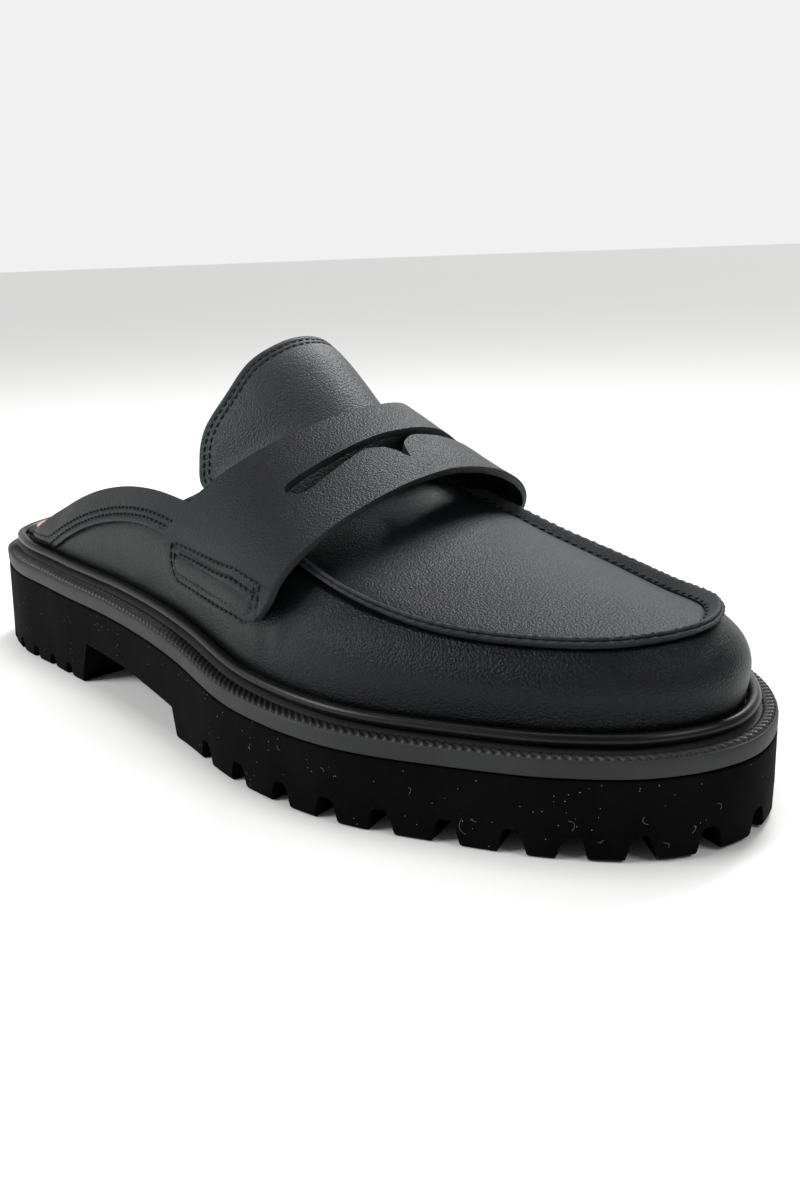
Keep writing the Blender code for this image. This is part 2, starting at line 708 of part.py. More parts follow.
def build_upper(material):
    """Side wall from tail to tail around the toe, and the plug that it carries."""
    sheet = Sheet()
    rows = wall_rows()
    columns = []
    for side in (1, -1):
        feet, tops = WALLS[side]
        last = len(feet) if side > 0 else len(feet) - 1
        made = []
        for k in range(last):
            bulge = wall_bulge(feet[k][1])
            column = []
            for zone, share in rows:
                spot = wall_point(feet[k], tops[k], wall_share(feet[k], tops[k], (zone, share)), bulge)
                rise = spot[2] - seat_line(feet[k][1])[0]
                step = facing_step(feet[k][1], rise) if zone == "high" else 0.0
                column.append(sheet.add(spot, (step, 0.0, 0.0)))
            made.append(column)
        columns.append(made)
    strip = columns[0] + columns[1][::-1]
    for left, right in zip(strip, strip[1:]):
        for r in range(len(rows) - 1):
            sheet.quad(left[r], right[r], right[r + 1], left[r + 1])

    lips = []
    plug_columns = strip[SIDE_COLUMNS:len(strip) - SIDE_COLUMNS]
    seam = np.vstack([SEAM_OUTER, SEAM_INNER[:-1][::-1]])
    middle = len(plug_columns) // 2
    for k, column in enumerate(plug_columns):
        partner = seam[len(seam) - 1 - k]
        across = partner[:2] - seam[k][:2]
        if k == middle:
            across = np.array([0.0, -1.0])
        step_in = across / np.linalg.norm(across)
        if min(k, len(seam) - 1 - k) > TOE_COLUMNS * 0.55:
            blend = np.array([0.0, -1.0])
            near = (min(k, len(seam) - 1 - k) / TOE_COLUMNS - 0.55) / 0.45
            step_in = step_in * (1 - near) + blend * near
            step_in /= np.linalg.norm(step_in)
        grow = min(max((seam[k][1] - THROAT_STATION - 0.003) / 0.004, 0.0), 1.0)
        height = SEAM_HEIGHT * grow
        base = np.array([seam[k][0], seam[k][1], seam[k][2]])
        lip_in = np.array([step_in[0], step_in[1], 0.0]) * SEAM_WIDTH
        outer_top = sheet.add(base + lip_in * 0.12, (0.0, height * SEAM_TILT, height))
        inner_top = sheet.add(base + lip_in * 0.88, (0.0, height * SEAM_TILT, height))
        inner_base = sheet.add(base + lip_in)
        lips.append((column[-1], outer_top, inner_top, inner_base))
    for left, right in zip(lips, lips[1:]):
        for r in range(3):
            sheet.quad(left[r], right[r], right[r + 1], left[r + 1])

    inner_ring = [lip[3] for lip in lips]
    last = len(inner_ring) - 1
    cells = 8
    lines = []
    for k in range(middle):
        start = sheet.points[inner_ring[k]]
        end = sheet.points[inner_ring[last - k]]
        line = [inner_ring[k]]
        for c in range(1, cells):
            share = c / cells
            w = 2 * share - 1
            spot = start * (1 - share) + end * share
            crown = (seam[k][3] + seam[last - k][3]) / 2
            spot[2] += crown * (1 - w * w)
            line.append(sheet.add(spot))
        line.append(inner_ring[last - k])
        lines.append(line)
    for left, right in zip(lines, lines[1:]):
        for c in range(cells):
            sheet.quad(left[c], right[c], right[c + 1], left[c + 1])
    tip = inner_ring[middle]
    for c in range(cells):
        sheet.quad(lines[-1][c], tip, tip, lines[-1][c + 1])
    place_sheet(sheet)
    orient_outwards(sheet)
    return sheet.thicken("upper", WALL, material)


def orient_outwards(sheet):
    """Turn every face over if the sheet's upper side faces down."""
    if sheet.normals()[:, 2].sum() < 0:
        sheet.faces = [tuple(reversed(face)) for face in sheet.faces]


def wall_lookup(side, station, share):
    """Point and outward normal of the wall at a station and a share of its way up."""
    feet, tops = WALLS[side]
    index = float(np.interp(station, feet[:, 1], np.arange(len(feet))))
    k = min(int(index), len(feet) - 2)
    t = index - k
    foot = feet[k] * (1 - t) + feet[k + 1] * t
    top = tops[k] * (1 - t) + tops[k + 1] * t

    def spot(s):
        return wall_point(foot, top, s, wall_bulge(foot[1]))

    low, here, high = spot(max(share - 0.04, 0)), spot(share), spot(min(share + 0.04, 1))
    up = high - low
    out = np.array([up[2] * side, 0.0, -up[0] * side])
    return here, out / np.linalg.norm(out)


ARCH_STEPS = 20
LEG_ROWS = 5


def strap_line(t):
    """Middle-surface points across the strap at a share t from its rear to its front."""
    points = []
    for side in (1, -1):
        leg = []
        leave = STRAP_LEAVE_OUTER if side > 0 else STRAP_LEAVE_INNER
        for k in range(LEG_ROWS):
            way = k / (LEG_ROWS - 1)
            rear = THROAT_STATION - TAB_REAR + TAB_LEAN / 2 * (1 - way)
            front = THROAT_STATION + TAB_FRONT + TAB_SPREAD * way - TAB_LEAN * (1 - way)
            corner = TAB_CORNER * (1 - min(way * 3, 1)) ** 2
            station = (rear + corner) * (1 - t) + (front - corner) * t
            share = STRAP_FOOT + (leave - STRAP_FOOT) * way
            spot, out = wall_lookup(side, station, share)
            over_facing = clamp((share - 0.45) / 0.12)
            lift = STRAP_CLEARANCE + FACING_STEP * over_facing + STRAP_LIFT * way ** 2 * t ** 2
            leg.append(spot + out * lift)
        points.append(leg)
    crown = np.array(STRAP_REAR_CROWN) * (1 - t) + np.array(STRAP_FRONT_CROWN) * t
    crown[1] += THROAT_STATION
    crown[2] += THROAT_HEIGHT + STRAP_SWELL * math.sin(math.pi * t) - STRAP_THICKNESS
    power = 2 / (STRAP_REAR_FULLNESS * (1 - t) + STRAP_FRONT_FULLNESS * t)
    arch = []
    for k in range(1, ARCH_STEPS):
        angle = math.pi * k / ARCH_STEPS
        leg = points[0][-1] if k <= ARCH_STEPS / 2 else points[1][-1]
        rise = math.sin(angle) ** power
        out = abs(math.cos(angle)) ** power
        spot = leg + (crown - leg) * rise
        spot[0] = crown[0] + (leg[0] - crown[0]) * out
        arch.append(spot)
    return points[0] + arch + points[1][::-1]


def build_strap(material):
    sheet = Sheet()
    lines = []
    for c in range(STRAP_COLUMNS + 1):
        lines.append([sheet.add(p) for p in strap_line(c / STRAP_COLUMNS)])
    for left, right in zip(lines, lines[1:]):
        for r in range(len(left) - 1):
            sheet.quad(left[r], right[r], right[r + 1], left[r + 1])
    place_sheet(sheet)
    orient_outwards(sheet)
    normals = sheet.normals()
    sheet.points = [p + n * STRAP_THICKNESS for p, n in zip(sheet.points, normals)]
    strap = sheet.thicken("saddle_strap", STRAP_THICKNESS, material)
    boolean(strap, slot_cutter(), "DIFFERENCE")
    return strap


def slot_cutter(steps=14):
    """Slot with a smooth rear edge and two humps that meet in a notch on its front edge."""
    table = np.array(SLOT_ROWS)
    shares = np.linspace(-1, 1, 2 * steps + 1)
    edges = make_curve(table[:, 0], table[:, 1:])(abs(shares))
    reach = SLOT_MIDDLE + SLOT_HALF_LENGTH * shares
    outline = list(zip(reach, edges[:, 0])) + list(zip(reach, edges[:, 1]))[::-1]
    low, high = [], []
    for u, t in outline:
        line = strap_line(t)
        k = min(range(5, len(line) - 6), key=lambda n: abs((line[n] + line[n + 1])[0] / 2 - u))
        share = (line[k][0] - u) / (line[k][0] - line[k + 1][0])
        spot = line[k] * (1 - share) + line[k + 1] * share
        out = np.array([u * 0.5, 0.010, 0.024])
        out /= np.linalg.norm(out)
        low.append(place(*(spot - out * 2 * STRAP_THICKNESS)))
        high.append(place(*(spot + out * 3 * STRAP_THICKNESS)))
    return joined("slot_cutter", [prism(low, high)])


def tongue_rows(count):
    """Rows of the tongue spaced evenly along its middle and its outer edge."""
    start = THROAT_HEIGHT + PLUG_CROWN - WALL - 4 * CLEARANCE
    rise = THROAT_HEIGHT + TONGUE_RISE - start
    table = np.array(TONGUE_ROWS) * [-TONGUE_REACH, rise, TONGUE_HALF_WIDTH, TONGUE_HALF_WIDTH,
                                     1.0, TONGUE_OFFSET]
    table[:, :2] += [THROAT_STATION, start]
    steps = np.linalg.norm(np.diff(table[:, :3], axis=0), axis=1)
    knots = np.concatenate([[0], np.cumsum(steps)])
    return make_curve(knots, table)(np.linspace(0, knots[-1], count))


def build_tongue(material, cells=12, count=20):
    """Tall curved tongue that starts under the plug and stands up behind the strap."""
    lean = math.radians(TONGUE_LEAN)
    sheet = Sheet()
    lines = []
    for station, height, outer, inner, curl, aside in tongue_rows(count):
        line = []
        for c in range(cells + 1):
            w = 1 - 2 * c / cells
            out = w * (outer if w > 0 else inner)
            fall = TONGUE_CURL * curl * (out / TONGUE_HALF_WIDTH) ** 2
            line.append(sheet.add((out - aside, station - fall * math.sin(lean) * curl,
                                   height - fall * math.cos(lean))))
        lines.append(line)
    for left, right in zip(lines, lines[1:]):
        for c in range(cells):
            sheet.quad(left[c], right[c], right[c + 1], left[c + 1])
    place_sheet(sheet)
    orient_outwards(sheet)
    return sheet.thicken("tongue", TONGUE_THICKNESS, material)


def footbed_inset(stations):
    """Inset of the footbed's edge: wide at the open heel, inside the wall elsewhere."""
    bare = LEDGE_WIDTH + 2 * BEAD_RADIUS + CLEARANCE
    walled = UPPER_INSET + WALL + 2 * CLEARANCE
    share = np.clip((stations - TAIL_STATION * 0.45) / (TAIL_STATION * 0.40), 0, 1)
    return bare + (walled - bare) * share * share * (3 - 2 * share)


def build_footbed(material):
    """Footbed with a wrapped rim and a shallow recess for the sock."""
    stations = OUTLINE[:, 1]
    edge = footbed_inset(stations)
    low = seat_line(stations) + CLEARANCE
    top = low + FOOTBED_THICKNESS
    rings = [
        ring_points(inset(edge + EDGE_ROUND), low),
        ring_points(inset(edge), low + EDGE_ROUND),
        ring_points(inset(edge), top - EDGE_ROUND),
        ring_points(inset(edge + EDGE_ROUND), top),
        ring_points(inset(edge + FOOTBED_RIM - EDGE_ROUND), top),
        ring_points(inset(edge + FOOTBED_RIM), top - SOCK_RECESS),
    ]
    return stacked("insole", rings, material)


def build_sock(material):
    stations = OUTLINE[:, 1]
    edge = footbed_inset(stations) + FOOTBED_RIM + CLEARANCE
    low = seat_line(stations) + CLEARANCE + FOOTBED_THICKNESS - SOCK_RECESS + CLEARANCE
    top = low + SOCK_THICKNESS
    rings = [
        ring_points(inset(edge), low),
        ring_points(inset(edge), top - SOCK_THICKNESS * 0.3),
        ring_points(inset(edge + SOCK_THICKNESS * 0.3), top),
    ]
    return stacked("sock_liner", rings, material)


def main():
    for old in list(bpy.data.objects):
        bpy.data.objects.remove(old)
    black_rubber = make_material("lug_rubber", (0.012, 0.012, 0.013), 0.75)
    grey_rubber = make_material("band_rubber", (0.085, 0.083, 0.080), 0.45)
    bead_rubber = make_material("bead_rubber", (0.030, 0.030, 0.031), 0.35)
    upper_leather = make_material("upper_leather", (0.022, 0.022, 0.023), 0.45)
    tongue_leather = make_material("tongue_leather", (0.024, 0.024, 0.025), 0.50)
    strap_leather = make_material("strap_leather", (0.023, 0.023, 0.024), 0.45)
    rim_leather = make_material("rim_leather", (0.030, 0.029, 0.028), 0.55)
    sock_leather = make_material("sock_leather", (0.52, 0.40, 0.29), 0.65)
    build_outsole(black_rubber)
    build_midsole(grey_rubber)
    build_welt(bead_rubber)
    build_upper(upper_leather)
    build_tongue(tongue_leather)
    build_strap(strap_leather)
    build_footbed(rim_leather)
    build_sock(sock_leather)


main()
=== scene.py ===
# Looks of a backless penny loafer in black leather on a lugged rubber sole, right shoe.
# Toe towards -Y, outer side of the foot towards -X, floor at z = 0, metres.
# A station is a distance along the shoe from the back of the heel.

import math

import bmesh
import bpy
import numpy as np
from mathutils import Matrix, Vector, noise


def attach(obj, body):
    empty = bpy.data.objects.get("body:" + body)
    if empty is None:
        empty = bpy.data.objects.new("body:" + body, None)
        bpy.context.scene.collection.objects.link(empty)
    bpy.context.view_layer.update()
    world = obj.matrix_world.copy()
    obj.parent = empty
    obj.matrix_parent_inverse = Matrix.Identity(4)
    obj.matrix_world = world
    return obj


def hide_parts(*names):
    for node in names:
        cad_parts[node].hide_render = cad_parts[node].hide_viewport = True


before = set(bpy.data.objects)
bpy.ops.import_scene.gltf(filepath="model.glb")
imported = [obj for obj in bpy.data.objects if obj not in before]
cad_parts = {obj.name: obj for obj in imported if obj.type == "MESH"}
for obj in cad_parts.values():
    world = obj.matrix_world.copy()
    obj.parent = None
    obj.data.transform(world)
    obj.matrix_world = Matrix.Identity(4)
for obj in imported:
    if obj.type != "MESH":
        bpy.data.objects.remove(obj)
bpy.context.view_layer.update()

MM = 0.001

# Sole: the CAD part's sizes, but the heel's front and flare and the lug gaps as in the photo
OUTSOLE_LENGTH = 0.282
BALL_WIDTH = 0.1055
HEEL_HEIGHT = 0.0285
FOREFOOT_HEIGHT = 0.0186
TOE_SPRING = 0.0006
HEEL_LENGTH = 0.0775
HEEL_FLARE = 0.0013
ARCH_HEIGHT = 0.0138
BREAST_LEAN = 0.0055
SHANK_DROP = 0.0050
FOREFOOT_START = 0.1385
BAND_HEIGHT = 0.0042
LEDGE_WIDTH = 0.0038
HEEL_LEDGE_RISE = 0.0026
TOE_LEDGE_RISE = 0.0009
BEAD_RADIUS = 0.0015
LUG_GAP = 0.0078
LUG_HEIGHT = 0.0060
LUG_DEPTH = 0.0150
LUG_PITCH = 0.0150
HEEL_LUG_PITCH = 0.0120
HEEL_LUG_GAP = 0.0062
HEEL_LUG_HEIGHT = 0.0043
HEEL_LUG_DEPTH = 0.0070
TREAD_RECESS = 0.0048
TREAD_MARGIN = 0.0190
HEEL_TREAD_MARGIN = 0.0143
TREAD_BAR = 0.0095
TREAD_BAR_GAP = 0.0075
TREAD_CHANNEL = 0.0060
TREAD_START = 0.0200
HEEL_TREAD_END = 0.0100

# Upper
WALL = 0.0018
CLEARANCE = 0.0003
BEAD_CLEARANCE = 0.0005
PLUG_LENGTH = 0.0986
PLUG_WIDTH = 0.0768
TOE_SETBACK = 0.0134
TOE_HEIGHT = 0.0456
THROAT_HEIGHT = 0.0597
PLUG_CROWN = 0.0075
TAIL_STATION = 0.0270
COLLAR_HEIGHT = 0.0335
FACING_WIDTH = 0.0125
FACING_STEP = 0.0008
TOE_BULGE = 0.0024
QUARTER_BULGE = 0.0014

# Strap and tongue
STRAP_THICKNESS = 0.0020
STRAP_REAR_CROWN = (-0.0110, -0.0065, 0.0265)
STRAP_FRONT_CROWN = (-0.0040, 0.0225, 0.0128)
STRAP_REAR_FULLNESS = 2.10
STRAP_FRONT_FULLNESS = 1.66
TAB_REAR = 0.0385
TAB_FRONT = 0.0120
STRAP_FOOT = 0.30
STRAP_LEAVE = {1: 0.66, -1: 0.95}
STRAP_SWELL = 0.0008
STRAP_CLEARANCE = 0.0007
TAB_LEAN = 0.0020
TAB_SPREAD = 0.0055
STRAP_LIFT = 0.0030
SLOT_HALF_LENGTH = 0.0295
SLOT_MIDDLE = 0.0025
TONGUE_THICKNESS = 0.0022
TONGUE_HALF_WIDTH = 0.0335
TONGUE_RISE = 0.0438
TONGUE_REACH = 0.0351
TONGUE_OFFSET = 0.0080
TONGUE_CURL = 0.0319
TONGUE_LEAN = 48.0
FOOTBED_THICKNESS = 0.0028

# Lug gaps along the sole's edge, from the back of the heel over the outer side: those read off
# the photo, and the end of the evenly spaced ones that follow on the unseen inner side
LUG_GAPS = (0.1800, 0.1970, 0.2135, 0.2280, 0.2425, 0.2580, 0.2730, 0.2860, 0.3005, 0.3160)
LAST_LUG_GAP = 0.4850

# Along the sole: share of the length, outer and inner half width as shares of the ball width
SOLE_OUTLINE = (
    (0.011, 0.131, 0.133), (0.043, 0.263, 0.265), (0.106, 0.343, 0.352), (0.213, 0.380, 0.370),
    (0.355, 0.408, 0.345), (0.496, 0.459, 0.362), (0.621, 0.521, 0.430), (0.727, 0.510, 0.482),
    (0.833, 0.410, 0.480), (0.915, 0.303, 0.398), (0.965, 0.196, 0.270), (0.989, 0.095, 0.165),
)

# Along the sole: share of the length, shares of the heel's extra height and ledge rise,
# share of the toe spring
SOLE_SIDE = (
    (0.000, 1.00, 0.35, 0.0), (0.106, 0.92, 1.00, 0.0), (0.248, 0.80, 1.00, 0.0),
    (0.461, 0.55, 0.90, 0.0), (0.603, 0.12, 0.55, 0.0), (0.727, 0.00, 0.20, 0.0),
    (0.870, 0.00, 0.00, 0.0), (1.000, 0.02, 0.00, 1.0),
)

# Moc seam from throat to toe: share of the plug's length, outer and inner half width as
# shares of its width, share of the throat's extra height, share of the crown
MOC_SEAM = (
    (0.000, 0.479, 0.464, 1.000, 1.00), (0.152, 0.501, 0.491, 0.631, 0.98),
    (0.304, 0.502, 0.499, 0.312, 0.90), (0.558, 0.457, 0.465, 0.000, 0.66),
    (0.740, 0.362, 0.378, -0.078, 0.42), (0.927, 0.217, 0.241, -0.028, 0.12),
)
SEAM_TIP = (1.000, -0.014, 0.000, 0.00)

# Collar from the tail to the throat: share of the run, share of the collar's height,
# outer and inner lean as shares of that height
COLLAR_LINE = (
    (0.000, 0.080, 0.00, 0.00), (0.075, 0.230, 0.02, 0.02), (0.200, 0.480, 0.07, 0.03),
    (0.400, 0.800, 0.09, 0.01), (0.610, 0.955, 0.12, -0.04), (0.760, 0.950, 0.19, -0.10),
)

# Tongue from its hidden front end to its top: station and height as shares of the way from
# the throat, outer and inner half width, share of the curl, share of the offset
TONGUE_ROWS = (
    (-0.40, -0.170, 0.76, 0.72, 0.28, 0.0), (-0.17, -0.090, 0.78, 0.72, 0.32, 0.2),
    (0.00, -0.010, 0.81, 0.70, 0.38, 0.4), (0.10, 0.185, 0.86, 0.66, 0.52, 0.6),
    (0.20, 0.360, 0.92, 0.62, 0.74, 0.8), (0.30, 0.478, 0.985, 0.62, 0.90, 1.0),
    (0.42, 0.587, 1.03, 0.70, 1.00, 1.0), (0.58, 0.722, 0.99, 0.77, 1.00, 1.0),
    (0.73, 0.842, 0.89, 0.80, 1.00, 1.0), (0.84, 0.917, 0.71, 0.71, 1.00, 1.0),
    (0.96, 0.982, 0.50, 0.50, 1.00, 1.0), (1.00, 1.000, 0.20, 0.20, 1.00, 1.0),
)

# Strap's slot from its middle to its end: share of the half length, rear and front edge
# as shares of the strap's width
SLOT_ROWS = (
    (0.00, 0.410, 0.770), (0.06, 0.412, 0.640), (0.20, 0.420, 0.540), (0.45, 0.440, 0.560),
    (0.75, 0.460, 0.620), (0.88, 0.472, 0.642), (0.95, 0.490, 0.636), (0.985, 0.515, 0.606),
    (1.00, 0.550, 0.555),
)

RING = 420
SIDE_COLUMNS = 84
TOE_COLUMNS = 96


# ---- Curves of the shoe ----

def make_curve(knots, values, closed=False):
    """Smooth curve through the rows of values, one row at each growing knot."""
    knots = np.asarray(knots, float)
    values = np.asarray(values, float)
    steps = np.diff(knots)[:, None]
    slopes = np.diff(values, axis=0) / steps
    inner = (slopes[:-1] * steps[1:] + slopes[1:] * steps[:-1]) / (steps[:-1] + steps[1:])
    first, last = slopes[0], slopes[-1]
    if closed:
        first = (slopes[-1] * steps[0] + slopes[0] * steps[-1]) / (steps[-1] + steps[0])
        last = first
    tangents = np.vstack([first, inner, last])

    def at(x):
        x = np.clip(np.atleast_1d(x), knots[0], knots[-1])
        k = np.clip(np.searchsorted(knots, x, side="right") - 1, 0, len(steps) - 1)
        h = steps[k]
        t = ((x - knots[k]) / h[:, 0])[:, None]
        rise = t * t * (3 - 2 * t)
        return (values[k] * (1 - rise) + values[k + 1] * rise
                + h * (tangents[k] * t * (1 - t) ** 2 + tangents[k + 1] * t * t * (t - 1)))

    return at


def reach_along(points):
    """Distance of each point from the first one, along the line."""
    return np.concatenate([[0], np.cumsum(np.linalg.norm(np.diff(points, axis=0), axis=1))])


def line_at(wanted, knots, points):
    """Places of a line at the wanted knots, straight between its points."""
    return np.stack([np.interp(wanted, knots, column) for column in points.T], axis=-1)


def resample(points, count, closed=False, samples=4000):
    """Points spaced evenly along a smooth curve through the given ones."""
    points = np.asarray(points, float)
    if closed:
        points = np.vstack([points, points[:1]])
    knots = reach_along(points[:, :2])
    dense = make_curve(knots, points, closed)(np.linspace(0, knots[-1], samples))
    reach = reach_along(dense)
    wanted = np.linspace(0, reach[-1], count + 1 if closed else count)
    return line_at(wanted[:-1] if closed else wanted, reach, dense)


side_curve = make_curve([row[0] for row in SOLE_SIDE], [row[1:] for row in SOLE_SIDE])


def side_shares(station):
    return side_curve(np.asarray(station) / OUTSOLE_LENGTH)


def floor_line(station):
    return TOE_SPRING * np.maximum(side_shares(station)[:, 2], 0.0)


def band_line(station):
    """Lower edge of the band around the sole."""
    shares = side_shares(station)
    extra = HEEL_HEIGHT - FOREFOOT_HEIGHT
    return FOREFOOT_HEIGHT + extra * shares[:, 0] + TOE_SPRING * shares[:, 2]


def ledge_rise(station):
    return TOE_LEDGE_RISE + (HEEL_LEDGE_RISE - TOE_LEDGE_RISE) * side_shares(station)[:, 1]


def seat_line(station):
    """Top of the band inside its ledge, on which the upper and the footbed sit."""
    return band_line(station) + BAND_HEIGHT + ledge_rise(station)


def sole_outline(count):
    outer = [(BALL_WIDTH * row[1], OUTSOLE_LENGTH * row[0]) for row in SOLE_OUTLINE]
    inner = [(-BALL_WIDTH * row[2], OUTSOLE_LENGTH * row[0]) for row in SOLE_OUTLINE]
    toe = (-0.0015, OUTSOLE_LENGTH)
    return resample([(0.0, 0.0)] + outer + [toe] + inner[::-1], count, closed=True)


def ring_inward(ring):
    tangent = np.roll(ring, -1, axis=0) - np.roll(ring, 1, axis=0)
    tangent /= np.linalg.norm(tangent, axis=1)[:, None]
    inward = np.column_stack([tangent[:, 1], -tangent[:, 0]])
    quarter = len(ring) // 4
    if np.dot(inward[quarter], [0, OUTSOLE_LENGTH / 2] - ring[quarter]) < 0:
        inward = -inward
    return inward


OUTLINE = sole_outline(RING)
INWARD = ring_inward(OUTLINE)
CENTRE = (OUTLINE[:, 0].max() + OUTLINE[:, 0].min()) / 2


def inset(distance):
    return OUTLINE + INWARD * np.reshape(distance, (-1, 1))


def place(spots):
    """World points of an array of (outward, station, height) places."""
    spots = np.asarray(spots, float)
    return np.stack([CENTRE - spots[..., 0], OUTSOLE_LENGTH / 2 - spots[..., 1], spots[..., 2]], -1)


UPPER_INSET = LEDGE_WIDTH + 2 * BEAD_RADIUS + BEAD_CLEARANCE
THROAT_STATION = OUTSOLE_LENGTH - TOE_SETBACK - PLUG_LENGTH


def clamp(share):
    return np.clip(share, 0.0, 1.0)


def ease(share):
    share = clamp(share)
    return share * share * (3 - 2 * share)


def feather_side(side):
    ring = inset(UPPER_INSET)
    half = RING // 2
    return ring[:half + 1] if side > 0 else np.vstack([ring[:1], ring[half:][::-1]])


def at_stations(line, stations):
    rising = line[:int(np.argmax(line[:, 1])) + 1]
    return np.column_stack([np.interp(stations, rising[:, 1], rising[:, 0]), stations])


def seam_side(side):
    column = 1 if side > 0 else 2
    rise = THROAT_HEIGHT - TOE_HEIGHT
    return [(side * PLUG_WIDTH * row[column], THROAT_STATION + PLUG_LENGTH * row[0],
             TOE_HEIGHT + rise * row[3], PLUG_CROWN * row[4]) for row in MOC_SEAM]


def seam_lines():
    tip = (PLUG_WIDTH * SEAM_TIP[1], THROAT_STATION + PLUG_LENGTH * SEAM_TIP[0], TOE_HEIGHT, 0.0)
    run = resample(seam_side(1) + [tip] + seam_side(-1)[::-1], 2 * TOE_COLUMNS + 1)
    return run[:TOE_COLUMNS + 1], run[TOE_COLUMNS:][::-1]


def column_lines(side, seam):
    """Feather points and top points of one side's columns, from the tail to the tip."""
    feather = resample(feather_side(side), 1200)
    throat = np.linspace(TAIL_STATION, THROAT_STATION, SIDE_COLUMNS + 1)[:-1]
    shares = (throat - TAIL_STATION) / (THROAT_STATION - TAIL_STATION)
    rear = at_stations(feather, throat)
    column = 2 if side > 0 else 3
    seat_end = seat_line(THROAT_STATION)[0] + CLEARANCE
    end_height = (seam[0][2] - seat_end) / COLLAR_HEIGHT
    end_foot = at_stations(feather, np.array([THROAT_STATION]))[0]
    end_lean = (abs(end_foot[0]) - abs(seam[0][0])) / COLLAR_HEIGHT
    knots = [row[0] for row in COLLAR_LINE] + [1.0]
    values = [(row[1], row[column]) for row in COLLAR_LINE] + [(end_height, end_lean)]
    shape = make_curve(knots, values)(shares)
    rear_top = np.column_stack([
        rear[:, 0] - side * COLLAR_HEIGHT * shape[:, 1],
        rear[:, 1] + COLLAR_HEIGHT * 0.12 * (1 - shares) ** 4,
        seat_line(rear[:, 1]) + CLEARANCE + COLLAR_HEIGHT * shape[:, 0],
    ])
    front = resample(feather[feather[:, 1] >= THROAT_STATION], TOE_COLUMNS + 1)
    return np.vstack([rear, front]), np.vstack([rear_top, seam[:, :3]])


SEAM_OUTER, SEAM_INNER = seam_lines()
WALLS = {1: column_lines(1, SEAM_OUTER), -1: column_lines(-1, SEAM_INNER)}


WALL_TURN = math.radians(62)    # how far the wall turns inwards on its way up


def wall_bulge(station):
    share = clamp((station - TAIL_STATION) / (THROAT_STATION - TAIL_STATION))
    return QUARTER_BULGE * clamp(share * 4) + (TOE_BULGE - QUARTER_BULGE) * share ** 3


def wall_point(foot, top, share):
    """Point of the side wall at a share of its way up, full above the bead."""
    inward = (1 - math.cos(WALL_TURN * share)) / (1 - math.cos(WALL_TURN))
    upward = math.sin(WALL_TURN * share) / math.sin(WALL_TURN)
    base = seat_line(foot[1])[0] + CLEARANCE
    flat = top[:2] - foot
    out = foot - np.array([0.0, OUTSOLE_LENGTH * 0.5])
    out[1] = max(out[1] - OUTSOLE_LENGTH * 0.28, 0.0)
    out /= np.linalg.norm(out)
    spot = foot + flat * inward + out * wall_bulge(foot[1]) * math.sin(math.pi * share) ** 2
    return np.array([spot[0], spot[1], base + (top[2] - base) * upward])


def facing_edge(foot, top):
    """Share of the wall's height at which the facing begins."""
    height = top[2] - seat_line(foot[1])[0] - CLEARANCE
    return float(np.clip(1 - FACING_WIDTH / height, 0.10, 0.62))


def wall_column(side, station):
    """Foot and top of the wall at a station, between its columns."""
    feet, tops = WALLS[side]
    index = float(np.interp(station, feet[:, 1], np.arange(len(feet))))
    k = min(int(index), len(feet) - 2)
    t = index - k
    return feet[k] * (1 - t) + feet[k + 1] * t, tops[k] * (1 - t) + tops[k + 1] * t


def wall_spot(side, station, share):
    """Point and outward normal of the wall, in (outward, station, height)."""
    foot, top = wall_column(side, station)
    here = wall_point(foot, top, share)
    ahead = wall_point(*wall_column(side, station + 0.002), share)
    low, high = (wall_point(foot, top, clamp(share + d)) for d in (-0.03, 0.03))
    out = np.cross(ahead - here, high - low)
    if out[0] * side < 0:
        out = -out
    return here, out / np.linalg.norm(out)


# ---- Meshes ----

def new_piece(name, shape, materials, node=None, angle=40):
    """Finish a bmesh as one named piece that rides on the shoe."""
    mesh = bpy.data.meshes.new(name)
    shape.to_mesh(mesh)
    shape.free()
    mesh.shade_smooth()
    mesh.set_sharp_from_angle(angle=math.radians(angle))
    piece = bpy.data.objects.new(name, mesh)
    bpy.context.scene.collection.objects.link(piece)
    for material in materials:
        mesh.materials.append(material)
    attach(piece, "root")
    if node:
        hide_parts(node)
    return piece


def grid_on(points, close_columns=False):
    """A bmesh grid laid on an array of world points, columns by rows."""
    columns, rows = points.shape[:2]
    shape = bmesh.new()
    bmesh.ops.create_grid(shape, x_segments=columns - 1, y_segments=rows - 1, size=0.5)
    for vert in shape.verts:
        c = round((vert.co.x + 0.5) * (columns - 1))
        r = round((vert.co.y + 0.5) * (rows - 1))
        vert.co = Vector(points[c, r])
    if close_columns:
        bmesh.ops.remove_doubles(shape, verts=shape.verts[:], dist=1e-6)
    return shape


def face_out(shape, above=-1.0):
    """Turn the faces one way, with those above a height upwards."""
    bmesh.ops.recalc_face_normals(shape, faces=shape.faces[:])
    high = [f for f in shape.faces if f.calc_center_median().z > above]
    if sum(f.normal.z * f.calc_area() for f in high) < 0:
        bmesh.ops.reverse_faces(shape, faces=shape.faces[:])


def normals_of(points):
    """Unit normals of a grid of points, pointing along column cross row."""
    across = np.gradient(points, axis=0)
    up = np.gradient(points, axis=1)
    out = np.cross(across, up)
    size = np.linalg.norm(out, axis=2, keepdims=True)
    return out / np.maximum(size, 1e-12)


def wander(points, scale, seed):
    """Soft random heights, from -1 to 1, over a grid of points."""
    shift = Vector((seed * 7.3, seed * 3.1, seed * 5.7))
    flat = points.reshape(-1, 3)
    heights = [noise.noise(Vector(p) / scale + shift) for p in flat]
    return np.array(heights).reshape(points.shape[:2])


